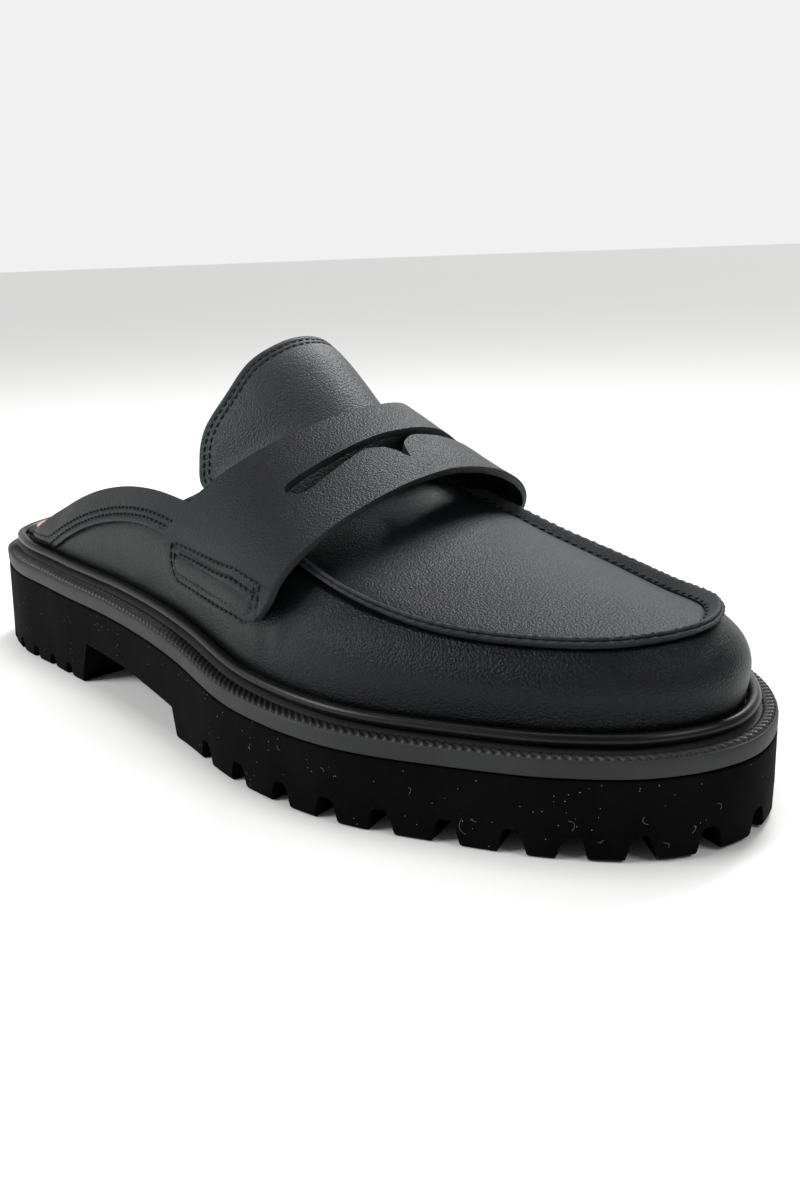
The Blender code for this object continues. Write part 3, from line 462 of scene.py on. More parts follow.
def round_edges(piece, name, width, degrees):
    edge = piece.modifiers.new(name, "BEVEL")
    edge.width = width
    edge.segments = 2
    edge.limit_method = "ANGLE"
    edge.angle_limit = math.radians(degrees)


def add_wall(piece, thickness, outwards=False, round_edge=0.4 * MM, lining=0):
    """Give a sheet its leather thickness and rounded cut edges."""
    wall = piece.modifiers.new("thickness", "SOLIDIFY")
    wall.thickness = thickness
    wall.offset = 1.0 if outwards else -1.0
    wall.use_even_offset = False
    wall.material_offset = lining
    round_edges(piece, "rounded_edge", round_edge, 55)


# Stitches: pitch, length, width and height
SEAM_STITCH = (2.9 * MM, 1.9 * MM, 0.75 * MM, 0.6 * MM)
COLLAR_STITCH = (2.3 * MM, 1.7 * MM, 0.75 * MM, 0.5 * MM)
TONGUE_STITCH = (2.3 * MM, 1.9 * MM, 0.65 * MM, 0.5 * MM)
TAB_STITCH = (2.4 * MM, 2.2 * MM, 0.95 * MM, 0.55 * MM)


def stitch_row(shape, path, normals, pitch, length, width, height, sink=0.3, slant=0.0):
    """Short rounded stitches along a path that lies on a surface."""
    reach = reach_along(path)
    for k in range(int(reach[-1] / pitch)):
        middle = (k + 0.5) * pitch
        start, end = (line_at(middle + share * length, reach, path) for share in (-0.3, 0.3))
        spot = (start + end) / 2
        along = Vector(end - start).normalized()
        up = Vector(line_at(middle, reach, normals)).normalized()
        side = up.cross(along).normalized()
        along = (along * math.cos(slant) + side * math.sin(slant)).normalized()
        side = up.cross(along).normalized()
        up = along.cross(side)
        turn = Matrix((along, side, up)).transposed().to_4x4()
        size = Matrix.Diagonal((length / 2, width / 2, height / 2, 1))
        lift = Matrix.Translation(Vector(spot) + up * height * (0.5 - sink))
        bmesh.ops.create_icosphere(shape, subdivisions=1, radius=1.0, matrix=lift @ turn @ size)


# ---- Materials ----

def linear(hex_colour):
    """Linear colour of an sRGB hex value."""
    parts = [int(hex_colour[k:k + 2], 16) / 255 for k in (1, 3, 5)]
    parts = [c / 12.92 if c <= 0.04045 else ((c + 0.055) / 1.055) ** 2.4 for c in parts]
    return (*parts, 1.0)


def add_node(tree, kind, settings=(), links=()):
    """Add a node, set its properties or sockets, and link sources into its sockets."""
    node = tree.nodes.new(kind)
    for key, value in dict(settings).items():
        if isinstance(key, int) or key in node.inputs:
            node.inputs[key].default_value = value
        else:
            setattr(node, key, value)
    for key, source in dict(links).items():
        tree.links.new(source, node.inputs[key])
    return node


def start_material(name, roughness, specular, sheen="#ffffff"):
    material = bpy.data.materials.new(name)
    material.use_nodes = True
    tree = material.node_tree
    shader = tree.nodes["Principled BSDF"]
    shader.inputs["Metallic"].default_value = 0.0
    shader.inputs["IOR"].default_value = 1.5
    shader.inputs["Roughness"].default_value = roughness
    shader.inputs["Specular IOR Level"].default_value = specular
    shader.inputs["Specular Tint"].default_value = linear(sheen)
    spots = add_node(tree, "ShaderNodeTexCoord").outputs["Object"]
    return material, tree, shader, spots


def two_tones(tree, factor, dark, light):
    """Soft patches of two near shades, most of them a mix of both."""
    ramp = add_node(tree, "ShaderNodeValToRGB", links={0: factor})
    for stop, position, shade in zip(ramp.color_ramp.elements, (0.35, 0.65), (dark, light)):
        stop.position = position
        stop.color = linear(shade)
    return ramp.outputs["Color"]


def pebbled_calf(name, dark, light, roughness, grain_mm, relief_mm, specular,
                 sheen="#e2eef2"):
    """Dyed leather with soft clouds of wear and a fine pebble of small domes, which breaks
    the highlights up into specks."""
    material, tree, shader, spots = start_material(name, roughness, specular, sheen)
    clouds = add_node(tree, "ShaderNodeTexNoise", {"Scale": 1 / (28 * MM), "Detail": 3.0},
                      {"Vector": spots}).outputs["Fac"]
    tree.links.new(two_tones(tree, clouds, dark, light), shader.inputs["Base Color"])
    worn = add_node(tree, "ShaderNodeMapRange", {"To Min": roughness - 0.05,
                    "To Max": roughness + 0.07}, {"Value": clouds})
    tree.links.new(worn.outputs["Result"], shader.inputs["Roughness"])
    cells = add_node(tree, "ShaderNodeTexVoronoi", {"Scale": 1 / (grain_mm * MM)},
                     {"Vector": spots}).outputs["Distance"]
    pores = add_node(tree, "ShaderNodeTexNoise", {"Scale": 1 / (grain_mm * 0.55 * MM),
                     "Detail": 2.0}, {"Vector": spots}).outputs["Fac"]
    both = add_node(tree, "ShaderNodeMath", {"operation": "SUBTRACT"}, {0: pores, 1: cells})
    bump = add_node(tree, "ShaderNodeBump", {"Strength": 1.0, "Distance": relief_mm * MM},
                    {"Height": both.outputs["Value"]})
    tree.links.new(bump.outputs["Normal"], shader.inputs["Normal"])
    return material


def moulded_rubber(name, dark, light, roughness, specular, specks=0.0, relief_mm=0.05):
    """Moulded rubber: a dull skin with softened mould edges and, where specks is above
    nought, pale dust caught in patches of it."""
    material, tree, shader, spots = start_material(name, roughness, specular)
    clouds = add_node(tree, "ShaderNodeTexNoise", {"Scale": 1 / (16 * MM), "Detail": 4.0},
                      {"Vector": spots}).outputs["Fac"]
    colour = two_tones(tree, clouds, dark, light)
    if specks:
        cells = add_node(tree, "ShaderNodeTexVoronoi", {"Scale": 1 / (1.3 * MM)},
                         {"Vector": spots})
        near = add_node(tree, "ShaderNodeMath", {"operation": "LESS_THAN", 1: 0.085},
                        {0: cells.outputs["Distance"]}).outputs["Value"]
        some = add_node(tree, "ShaderNodeSeparateColor", links={0: cells.outputs["Color"]})
        drift = add_node(tree, "ShaderNodeTexNoise", {"Scale": 1 / (11 * MM), "Detail": 2.0},
                         {"Vector": spots}).outputs["Fac"]
        limit = add_node(tree, "ShaderNodeMapRange", {"From Min": 0.40, "From Max": 0.66,
                         "To Min": 1.0, "To Max": 1 - specks}, {"Value": drift}).outputs["Result"]
        kept = add_node(tree, "ShaderNodeMath", {"operation": "GREATER_THAN"},
                        {0: some.outputs[0], 1: limit}).outputs["Value"]
        dust = add_node(tree, "ShaderNodeMath", {"operation": "MULTIPLY"}, {0: near, 1: kept})
        mixed = add_node(tree, "ShaderNodeMix", {"data_type": "RGBA"})
        tree.links.new(dust.outputs["Value"], mixed.inputs["Factor"])
        tree.links.new(colour, mixed.inputs[6])
        mixed.inputs[7].default_value = linear("#8d8d88")
        colour = mixed.outputs[2]
    tree.links.new(colour, shader.inputs["Base Color"])
    skin = add_node(tree, "ShaderNodeTexNoise", {"Scale": 1 / (0.6 * MM), "Detail": 3.0},
                    {"Vector": spots}).outputs["Fac"]
    edge = add_node(tree, "ShaderNodeBevel", {"Radius": 0.5 * MM, "samples": 4})
    bump = add_node(tree, "ShaderNodeBump", {"Strength": 1.0, "Distance": relief_mm * MM},
                    {"Height": skin, "Normal": edge.outputs["Normal"]})
    tree.links.new(bump.outputs["Normal"], shader.inputs["Normal"])
    return material


# Grain: the pebble of such a calf is taken as 0.4 mm, a typical value that is not measured on
# the photo, and is drawn at 0.6 mm, coarser than real, so that it shows at this distance
# Vamp and quarters: near black, satin, the roll of the side breaks up into cool specks
calf = pebbled_calf("black_pebbled_calf", "#07090a", "#0d0f10", 0.41, 0.62, 0.14, 0.25)
# Plug: the same black calf with a little greyer base, painted sheen of its lit flat top, and
# duller, so that its broad highlight reads as a flat top
plug_calf_painted_sheen = pebbled_calf("black_pebbled_calf_plug_painted_sheen", "#0a0c0e", "#0f1113", 0.45, 0.60, 0.14, 0.20)
# Strap and tabs: the same hide pulled flat, with the plainest pebble; its base, a touch lighter
# than the vamp's, is painted light on the strap's lit top
strap_calf_painted_light = pebbled_calf("black_pebbled_calf_strap_painted_light", "#0a0c0d", "#0f1112", 0.44, 0.60, 0.14, 0.22)
# Tongue: the same black calf drawn in the lightest grey of the upper, painted light of the tongue's
# lit front
tongue_calf_painted_light = pebbled_calf("black_pebbled_calf_tongue_painted_light", "#0f1112", "#151718", 0.45, 0.58, 0.12,
                           0.42)
# Cut edges of the moc seam: inked, rough and fibrous, in patches of grey that are partly the
# fibres' own tone and partly painted highlight of the raw edge's light lines
cut_edge = pebbled_calf("inked_cut_leather_edge", "#0a0a0b", "#2c2d30", 0.62, 0.45, 0.12, 0.32)
# Inside of the upper: dull lining without a highlight
lining = pebbled_calf("black_lining_leather", "#0c0c0d", "#121213", 0.66, 0.60, 0.030, 0.25)
# Wrapped rim of the footbed: dark grey, smoother than the upper
rim_calf = pebbled_calf("black_footbed_leather", "#131313", "#1b1b1a", 0.52, 0.90, 0.040, 0.35)
# Sock: undyed warm beige, matte, the only light colour of the shoe
sock_hide = pebbled_calf("natural_sock_leather", "#b48e70", "#c6a182", 0.66, 0.70, 0.030, 0.35,
                         sheen="#ffffff")
# Thread: drawn blacker than the leather, partly the thread's own black and partly painted shade of
# the grooves the stitches sink into, so that the rows read as dark dashes
thread = pebbled_calf("waxed_black_thread", "#030304", "#060607", 0.60, 0.40, 0.040, 0.25)
# Lug sole: deep dull black with pale dust, whose specks are drawn at about 0.2 mm, coarser than
# real dust, so that they show
lug_rubber = moulded_rubber("matte_lug_rubber", "#020203", "#080809", 0.85, 0.06, specks=0.70)
# Band: plain satin grey stripe around the shoe
band_rubber = moulded_rubber("satin_band_rubber", "#1f2021", "#262728", 0.58, 0.32, relief_mm=0.02)
# Mock stitches on the ledge: the band's grey rubber drawn near black, painted shade of the grooves
# between the ribs, each rib catching a thin line of light
rib_rubber_painted_shade = moulded_rubber("ribbed_ledge_rubber_painted_shade", "#0d0d0e", "#151516", 0.45, 0.36, relief_mm=0.03)
# Bead: smooth black cord with one narrow line of light
bead_rubber = moulded_rubber("satin_bead_rubber", "#09090a", "#0e0e0f", 0.34, 0.26, relief_mm=0.01)
# Lint: pale dry fibres on the black rubber
lint = pebbled_calf("pale_lint_fibre", "#5d5d5a", "#70706c", 0.80, 0.50, 0.01, 0.10,
                    sheen="#ffffff")


# ---- Sole ----

def ring_stack(levels):
    """A bmesh skin through closed rings, given as (inset, heights) rows."""
    rings = [np.column_stack([inset(depth), heights]) for depth, heights in levels]
    rings = [np.vstack([ring, ring[:1]]) for ring in rings]
    return grid_on(place(np.stack(rings, axis=1)), close_columns=True)


def close_ring_ends(shape):
    bmesh.ops.holes_fill(shape, edges=[e for e in shape.edges if e.is_boundary], sides=0)
    bmesh.ops.recalc_face_normals(shape, faces=shape.faces[:])


def lug_gap(shape, spot, inward, mouth, height, depth):
    """Gap between two lugs, wide at the floor and the rim, with a rounded root."""
    along = np.array([-inward[1], inward[0]])
    levels = ((-0.003, 1.08, 1.0), (0.0, 1.0, 1.0), (0.55, 0.76, 0.92), (0.84, 0.62, 0.84),
              (1.0, 0.38, 0.80))
    rings = []
    for level, wide, far in levels:
        z = level if level < 0 else level * height
        ring = []
        for side, spread, reach in ((-1, 1, -0.004), (1, 1, -0.004),
                                    (1, 0.55, depth * far), (-1, 0.55, depth * far)):
            p = spot + along * side * mouth * wide * spread / 2 + inward * reach
            ring.append(shape.verts.new(Vector(place([p[0], p[1], z]))))
        if rings:
            for a in range(4):
                b = (a + 1) % 4
                shape.faces.new((rings[-1][a], rings[-1][b], ring[b], ring[a]))
        rings.append(ring)
    shape.faces.new(rings[0][::-1])
    shape.faces.new(rings[-1])


def rim_spot(around):
    """Spot and inward way at a distance around the sole's edge, from the back over the outer
    side."""
    rings = [np.vstack([ring, ring[:1]]) for ring in (OUTLINE, INWARD)]
    reach = reach_along(rings[0])
    return (line_at(around % reach[-1], reach, ring) for ring in rings)


def rim_gaps(shape, places, mouth, height, depth):
    """Gaps between lugs at distances around the sole's edge."""
    for around in places:
        spot, way = rim_spot(around)
        way /= np.linalg.norm(way)
        lift = float(floor_line(spot[1])[0])
        lug_gap(shape, spot, way, mouth, height + lift, depth)


def box_between(shape, low, high):
    """Closed prism between two world loops of equal count."""
    loops = [[shape.verts.new(Vector(p)) for p in place(loop)] for loop in (low, high)]
    count = len(low)
    for a in range(count):
        b = (a + 1) % count
        shape.faces.new((loops[0][a], loops[0][b], loops[1][b], loops[1][a]))
    shape.faces.new(loops[0][::-1])
    shape.faces.new(loops[1])


def tread_recesses(shape, start, stop, margin):
    half = RING // 2
    station = start
    while station + TREAD_BAR_GAP <= stop:
        ends = (station, station + TREAD_BAR_GAP)
        for side, line in ((1, OUTLINE[:half]), (-1, OUTLINE[half:][::-1])):
            reach = [abs(np.interp(s, line[:, 1], line[:, 0])) - margin for s in ends]
            if min(reach) > TREAD_CHANNEL:
                tilt = TREAD_BAR_GAP * 0.6
                near = side * TREAD_CHANNEL / 2
                flat = [(near, ends[0]), (side * reach[0], ends[0] - tilt),
                        (side * reach[1], ends[1] - tilt), (near, ends[1])]
                box_between(shape, [(*p, -0.002) for p in flat],
                            [(*p, TREAD_RECESS) for p in flat])
        station += TREAD_BAR_GAP + TREAD_BAR


def arch_space(shape):
    profile = [(HEEL_LENGTH, -0.004), (HEEL_LENGTH, 0.0), (HEEL_LENGTH + BREAST_LEAN, ARCH_HEIGHT),
               ((HEEL_LENGTH + FOREFOOT_START) / 2, ARCH_HEIGHT - SHANK_DROP / 3),
               (FOREFOOT_START - 0.002, ARCH_HEIGHT - SHANK_DROP),
               (FOREFOOT_START, 0.0), (FOREFOOT_START, -0.004)]
    box_between(shape, *[[(side * BALL_WIDTH, s, z) for s, z in profile] for side in (-1, 1)])


def carve(shape, cutters):
    """Take cutters, given as functions that fill a bmesh, out of a closed bmesh."""
    mesh = bpy.data.meshes.new("carved")
    shape.to_mesh(mesh)
    shape.free()
    target = bpy.data.objects.new("carved", mesh)
    bpy.context.scene.collection.objects.link(target)
    tools = []
    for number, fill in enumerate(cutters):
        cut = bmesh.new()
        fill(cut)
        bmesh.ops.recalc_face_normals(cut, faces=cut.faces[:])
        cut_mesh = bpy.data.meshes.new(f"cutter_{number}")
        cut.to_mesh(cut_mesh)
        cut.free()
        tool = bpy.data.objects.new(f"cutter_{number}", cut_mesh)
        bpy.context.scene.collection.objects.link(tool)
        tools.append(tool)
        step = target.modifiers.new(tool.name, "BOOLEAN")
        step.operation = "DIFFERENCE"
        step.solver = "EXACT"
        step.object = tool
    bpy.context.view_layer.update()
    graph = bpy.context.evaluated_depsgraph_get()
    result = bmesh.new()
    result.from_mesh(target.evaluated_get(graph).to_mesh())
    for used in (target, *tools):
        bpy.data.objects.remove(used)
    return result


def make_outsole():
    stations = OUTLINE[:, 1]
    low = floor_line(stations)
    top = band_line(stations) - CLEARANCE
    flare = -HEEL_FLARE * ease((0.060 - stations) / 0.050)
    shape = ring_stack([
        (flare + 0.0009, low), (flare + 0.00035, low + 0.00025), (flare, low + 0.0009),
        (flare * 0.5, (low + top) * 0.5), (0.0, top - 0.0004), (0.0003, top),
    ])
    close_ring_ends(shape)
    fore_gaps = LUG_GAPS + tuple(np.arange(LUG_GAPS[-1] + LUG_PITCH, LAST_LUG_GAP, LUG_PITCH))
    heel_gaps = [side * HEEL_LUG_PITCH * (k + 0.5) for k in range(8) for side in (1, -1)]
    shape = carve(shape, [
        arch_space,
        lambda cut: rim_gaps(cut, fore_gaps, LUG_GAP, LUG_HEIGHT, LUG_DEPTH),
        lambda cut: rim_gaps(cut, heel_gaps, HEEL_LUG_GAP, HEEL_LUG_HEIGHT, HEEL_LUG_DEPTH),
        lambda cut: (tread_recesses(cut, FOREFOOT_START + TREAD_START,
                                    OUTSOLE_LENGTH - TREAD_MARGIN, TREAD_MARGIN),
                     tread_recesses(cut, TREAD_START, HEEL_LENGTH - HEEL_TREAD_END,
                                    HEEL_TREAD_MARGIN)),
    ])
    sole = new_piece("lug_sole", shape, [lug_rubber], "outsole", angle=32)
    round_edges(sole, "moulded_edge", 0.6 * MM, 38)


RIB_PITCH = 2.2 * MM
RIB_OUT = 0.32 * MM         # sole's edge to the outer side of the ribs
RIB_WIDTH = 3.30 * MM


def make_band():
    """Band around the sole: flat face, ledge with a channel inside the mock stitches."""
    stations = OUTLINE[:, 1]
    low = band_line(stations)
    top = low + BAND_HEIGHT
    rise = ledge_rise(stations)
    slope = rise / LEDGE_WIDTH
    channel = 0.9 * MM
    levels = [(LEDGE_WIDTH * 2, low + 0.0004), (0.0008, low), (0.0002, low + 0.0002),
              (0.0, low + 0.0008), (0.0, top - 0.0006), (0.0001, top - 0.0001),
              (0.0004, top + slope * 0.0004), (0.0010, top + slope * 0.0010 - channel * 0.5),
              (0.0024, top + slope * 0.0024 - channel * 0.8),
              (0.0028, top + slope * 0.0028 - channel),
              (0.0036, top + slope * 0.0036 - channel), (0.0041, top + rise - channel * 0.8),
              (0.0050, top + rise - channel * 0.2), (0.0090, top + rise - 0.0001)]
    shape = ring_stack(levels)
    face_out(shape, above=0.03)
    close_ring_ends(shape)
    new_piece("band_and_ledge", shape, [band_rubber], "midsole", angle=40)


def ring_lookup(distance, fine):
    """Inset ring resampled to evenly spaced points, and its length."""
    ring = inset(distance)
    ring = np.vstack([ring, ring[:1]])
    reach = reach_along(ring)
    return line_at(np.linspace(0, reach[-1], fine + 1), reach, ring), reach[-1]


def make_ribs():
    """Rope of mock stitches: slanted ribs along the outer part of the ledge."""
    _, length = ring_lookup(RIB_OUT, 8)
    ribs = round(length / RIB_PITCH)
    fine = ribs * 6
    across = 9
    rows = []
    for r in range(across):
        share = r / (across - 1)
        distance = RIB_OUT + RIB_WIDTH * share
        ring, _ = ring_lookup(distance, fine)
        stations = ring[:, 1]
        base = band_line(stations) + BAND_HEIGHT + ledge_rise(stations) * distance / LEDGE_WIDTH
        phase = np.arange(fine + 1) / 6 * 2 * math.pi + share * 4.4
        smooth_heel = ease((stations - 0.012) / 0.020)
        swell = math.sin(math.pi * share ** 0.6) ** 0.42
        rib = 0.5 + 0.5 * np.cos(phase)
        height = (-0.55 - 0.35 * share + swell * (0.25 + 0.95 * rib ** 1.2 * smooth_heel)) * MM
        rows.append(np.column_stack([ring, base + height]))
    shape = grid_on(place(np.stack(rows, axis=1)), close_columns=True)
    face_out(shape)
    # The ribs wear the darkened copy of the band's rubber, painted shade of their grooves
    new_piece("mock_stitch_ribs", shape, [rib_rubber_painted_shade], angle=80)


def make_bead(sides=14):
    stations = OUTLINE[:, 1]
    heights = seat_line(stations) + BEAD_RADIUS + CLEARANCE
    levels = []
    for k in range(sides + 1):
        angle = 2 * math.pi * k / sides
        levels.append((LEDGE_WIDTH + BEAD_RADIUS * (1 + math.cos(angle)),
                       heights + BEAD_RADIUS * math.sin(angle)))
    shape = ring_stack(levels)
    bmesh.ops.remove_doubles(shape, verts=shape.verts[:], dist=1e-6)
    bmesh.ops.recalc_face_normals(shape, faces=shape.faces[:])
    new_piece("welt_bead", shape, [bead_rubber], "welt", angle=80)


# Lint on the sole's side: distance along its edge, height, length and curl in millimetres
LINT = (
    (228.0, 13.0, 1.4, 0.4), (262.0, 5.0, 3.0, 0.6), (264.5, 7.0, 2.0, 0.5),
    (286.0, 8.5, 1.6, 0.5), (292.0, 5.0, 1.8, 0.4), (301.0, 10.0, 1.4, 0.4),
    (312.0, 7.0, 2.4, 0.6), (318.0, 11.0, 1.4, 0.4), (203.0, 12.0, 1.6, 0.4),
    (214.0, 15.0, 1.2, 0.3), (250.0, 12.0, 1.5, 0.4), (306.0, 4.0, 1.6, 0.5),
)
LINT_RADIUS = 0.05 * MM
LINT_LIFT = 0.08 * MM


def make_lint():
    """Short curled fibres that cling to the rubber."""
    shape = bmesh.new()
    steps = np.linspace(0, 1, 13)
    for number, (around, height, size, curl) in enumerate(LINT):
        turn = number * 1.7
        along = around + size * (steps - 0.5) * math.cos(turn) + curl * np.sin(steps * 5 + turn)
        up = height + size * (steps - 0.5) * math.sin(turn) + curl * np.cos(steps * 4.2 + turn)
        line = []
        for a, z in zip(along * MM, up * MM):
            spot, way = rim_spot(a)
            line.append(Vector(place([*(spot - way * LINT_LIFT), z])))
        for start, end in zip(line, line[1:]):
            way = end - start
            turned = way.to_track_quat("Z", "Y").to_matrix().to_4x4()
            bmesh.ops.create_cone(shape, segments=5, radius1=LINT_RADIUS, radius2=LINT_RADIUS,
                                  cap_ends=True, depth=way.length * 1.15,
                                  matrix=Matrix.Translation((start + end) / 2) @ turned)
    new_piece("sole_lint", shape, [lint], angle=80)


# ---- Footbed ----

def footbed_inset(stations):
    bare = LEDGE_WIDTH + 2 * BEAD_RADIUS + CLEARANCE
    walled = UPPER_INSET + WALL + 2 * CLEARANCE
    return bare + (walled - bare) * ease((stations - TAIL_STATION * 0.45) / (TAIL_STATION * 0.40))


def make_footbed_rim():
    stations = OUTLINE[:, 1]
    edge = footbed_inset(stations)
    low = seat_line(stations) + CLEARANCE
    top = low + FOOTBED_THICKNESS
    radius = FOOTBED_THICKNESS / 2
    levels = [(edge + 0.004, low)]
    for k in range(9):
        angle = math.pi * (k / 8 - 0.5)
        levels.append((edge + radius * (1 - math.cos(angle)), low + radius * (1 + math.sin(angle))))
    levels += [(edge + 0.0026, top), (edge + 0.0031, top - 0.0006), (edge + 0.0060, top - 0.0008)]
    shape = ring_stack(levels)
    face_out(shape, above=0.036)
    close_ring_ends(shape)
    new_piece("wrapped_footbed_rim", shape, [rim_calf], "insole", angle=50)


def make_sock(across=28):
    """Thin sock on the footbed, a little cupped under the heel."""
    edge = footbed_inset(OUTLINE[:, 1]) + 0.0030
    ring = inset(edge)
    half = RING // 2
    rows = []
    for k in range(half + 1):
        left, right = ring[k], ring[-k % RING]
        share = np.linspace(0, 1, across + 1)[:, None]
        flat = left * (1 - share) + right * share
        height = seat_line(flat[:, 1]) + CLEARANCE + FOOTBED_THICKNESS + 0.0003
        cup = 0.0006 * (np.abs(2 * share[:, 0] - 1) ** 3)
        rows.append(np.column_stack([flat, height + cup]))
    points = place(np.stack(rows, axis=0))
    points[..., 2] += wander(points, 0.022, 4) * 0.15 * MM
    shape = grid_on(points, close_columns=True)
    face_out(shape)
    sock = new_piece("heel_sock", shape, [sock_hide], "sock_liner", angle=60)
    add_wall(sock, 1.0 * MM, round_edge=0.3 * MM)


# ---- Upper ----

LOW_ROWS = np.linspace(0, 1, 17)
HIGH_ROWS = np.linspace(0, 1, 34)
FACING_GAP = 0.012          # share of the wall between the rows below and above the facing's edge
COLLAR_ROWS = (2.1 * MM, 4.1 * MM)


def wall_shares(foot, top):
    edge = facing_edge(foot, top)
    high = edge + FACING_GAP
    return list(edge * LOW_ROWS) + list(high + (1 - edge - FACING_GAP) * HIGH_ROWS)


def make_vamp():
    """Side wall from tail to tail around the toe, with the facing along the collar."""
    walls = list(zip(*WALLS[1])) + list(zip(*(line[:-1] for line in WALLS[-1])))[::-1]
    shares = np.array([wall_shares(*wall) for wall in walls])
    spots = np.array([[wall_point(*wall, share) for share in row]
                      for wall, row in zip(walls, shares)])
    points = place(spots)
    out = normals_of(points)
    if out[len(out) // 4, 8, 0] > 0:
        out = -out
    stations = spots[:, 0, 1][:, None]
    rise = spots[:, :, 2] - seat_line(spots[:, 0, 1])[:, None]
    high = np.zeros(len(LOW_ROWS) + len(HIGH_ROWS))
    high[len(LOW_ROWS):] = 1.0
    by_throat = clamp((THROAT_STATION - 0.008 - stations) / 0.020)
    by_bead = clamp((rise - 2 * BEAD_RADIUS) / 0.0015 - 0.5)
    step = FACING_STEP * 0.9 * by_throat * by_bead * high[None, :]
    above = facing_heights(spots)
    rows = sum(np.exp(-((above - row) / (0.45 * MM)) ** 2) for row in COLLAR_ROWS)
    fold = 0.22 * np.exp(-((above - 0.7 * MM) / (0.5 * MM)) ** 2) * (above > 0)
    under = 0.35 * np.exp(-((above + 0.2 * MM) / (0.6 * MM)) ** 2) * (above <= 0)
    step = step + (fold - under - 0.20 * rows) * MM * by_throat * by_bead
    low_swell = 0.20 * MM * wander(points, 0.030, 1) + 0.06 * MM * wander(points, 0.011, 2)
    under_lip = ease((shares - 0.90) / 0.09) * ease((stations - THROAT_STATION - 0.004) / 0.006)
    relief = step + low_swell + crease_depth(spots) - 0.9 * MM * under_lip
    points = points + out * relief[..., None]
    shape = grid_on(points)
    turn = shape.faces[:][len(shape.faces) // 3]
    if turn.normal.dot(Vector(turn.calc_center_median().xy.to_3d())) < 0:
        bmesh.ops.reverse_faces(shape, faces=shape.faces[:])
    vamp = new_piece("vamp_and_quarters", shape, [calf, lining], "upper", angle=38)
    add_wall(vamp, WALL, lining=1)


def facing_heights(spots):
    """Height of each wall point above the facing's lower edge."""
    edge = (spots[:, len(LOW_ROWS) - 1] + spots[:, len(LOW_ROWS)])[:, None] / 2
    gap = np.linalg.norm(spots - edge, axis=2)
    sign = np.ones(gap.shape[1])
    sign[:len(LOW_ROWS)] = -1
    return gap * sign


# Creases of the vamp and quarter: middle (side, station, height), direction in degrees from
# the sole's line, half length, half width and depth, in millimetres
CREASES = (
    (1, 190.0, 42.0, 62.0, 9.0, 2.6, 0.40),
    (1, 181.0, 36.0, 75.0, 8.0, 3.2, 0.35),
    (1, 203.0, 47.0, 35.0, 8.0, 2.2, 0.25),
    (1, 118.0, 38.0, 15.0, 16.0, 3.0, 0.25),
    (1, 96.0, 42.0, -8.0, 14.0, 2.6, 0.20),
    (-1, 186.0, 41.0, 65.0, 9.0, 2.8, 0.40),
    (-1, 204.0, 38.0, 40.0, 8.0, 2.4, 0.25),
    (-1, 120.0, 40.0, 10.0, 15.0, 3.0, 0.25),
)


def crease_depth(spots):
    """Shallow creases pressed into the wall, in metres along its normal."""
    depth = np.zeros(spots.shape[:2])
    for side, station, height, angle, half_length, half_width, deep in CREASES:
        along = spots[..., 1] / MM - station
        up = spots[..., 2] / MM - height
        c, s = math.cos(math.radians(angle)), math.sin(math.radians(angle))
        run, off = along * c + up * s, -along * s + up * c
        on_side = spots[..., 0] * side > 0
        length = np.exp(-(run / half_length) ** 2 * 2)
        fall = length * np.exp(-(off / half_width) ** 2 * 2)
        shoulder = length * np.exp(-((off - 1.6 * half_width) / half_width) ** 2)
        depth += on_side * (-fall + 0.45 * shoulder) * deep * MM
    return depth


def seam_frame():
    """Seam points from throat to throat with their inward directions."""
    seam = np.vstack([SEAM_OUTER, SEAM_INNER[:-1][::-1]])
    count = len(seam)
    tangent = np.gradient(seam[:, :2], axis=0)
    tangent /= np.linalg.norm(tangent, axis=1)[:, None]
    inward = np.column_stack([tangent[:, 1], -tangent[:, 0]])
    middle = seam[:, :2].mean(axis=0)
    if np.dot(inward[count // 4], middle - seam[count // 4, :2]) < 0:
        inward = -inward
    return seam, inward


LIP_WIDTH = 2.0 * MM
LIP_HEIGHT = 2.7 * MM
LIP_LEAN = 54.0
# Lip's section with the gap between its two plies: shares of its width and of its height
LIP_SECTION = (
    (0.50, -0.45), (0.50, 0.40), (0.50, 0.80), (0.42, 0.96), (0.24, 1.00), (0.08, 0.94),
    (0.00, 0.78), (-0.08, 0.93), (-0.26, 1.02), (-0.44, 1.00), (-0.50, 0.86), (-0.50, 0.50),
    (-0.50, 0.10), (-0.40, -0.45),
)


def make_plug(across=64):
    """Crowned plug between the two sides of the moc seam."""
    seam, inward = seam_frame()
    count = len(seam)
    half = count // 2
    rows = []
    for k in range(half + 1):
        a, b = seam[k], seam[count - 1 - k]
        start = a[:3].copy()
        end = b[:3].copy()
        start[:2] += inward[k] * LIP_WIDTH * 0.9
        end[:2] += inward[count - 1 - k] * LIP_WIDTH * 0.9
        if k == half:
            end = start.copy()
        share = np.linspace(0, 1, across + 1)
        w = 2 * share - 1
        crown = (a[3] + b[3]) / 2
        line = start[None, :] * (1 - share[:, None]) + end[None, :] * share[:, None]
        tilt = 0.12 * w * (1 - w * w)
        line[:, 2] += crown * (1 - w * w + tilt)
        near = np.minimum(share, 1 - share) * np.linalg.norm(end[:2] - start[:2])
        line[:, 2] -= 0.45 * MM * np.exp(-(near / (2.2 * MM)) ** 2)
        rows.append(line)
    spots = np.stack(rows, axis=0)
    points = place(spots)
    points[..., 2] += (wander(points, 0.040, 6) * 0.22 + wander(points, 0.012, 7) * 0.04) * MM
    shape = grid_on(points, close_columns=True)
    face_out(shape)
    plug = new_piece("plug", shape, [plug_calf_painted_sheen, lining], "upper", angle=60)
    add_wall(plug, WALL * 0.9, lining=1)


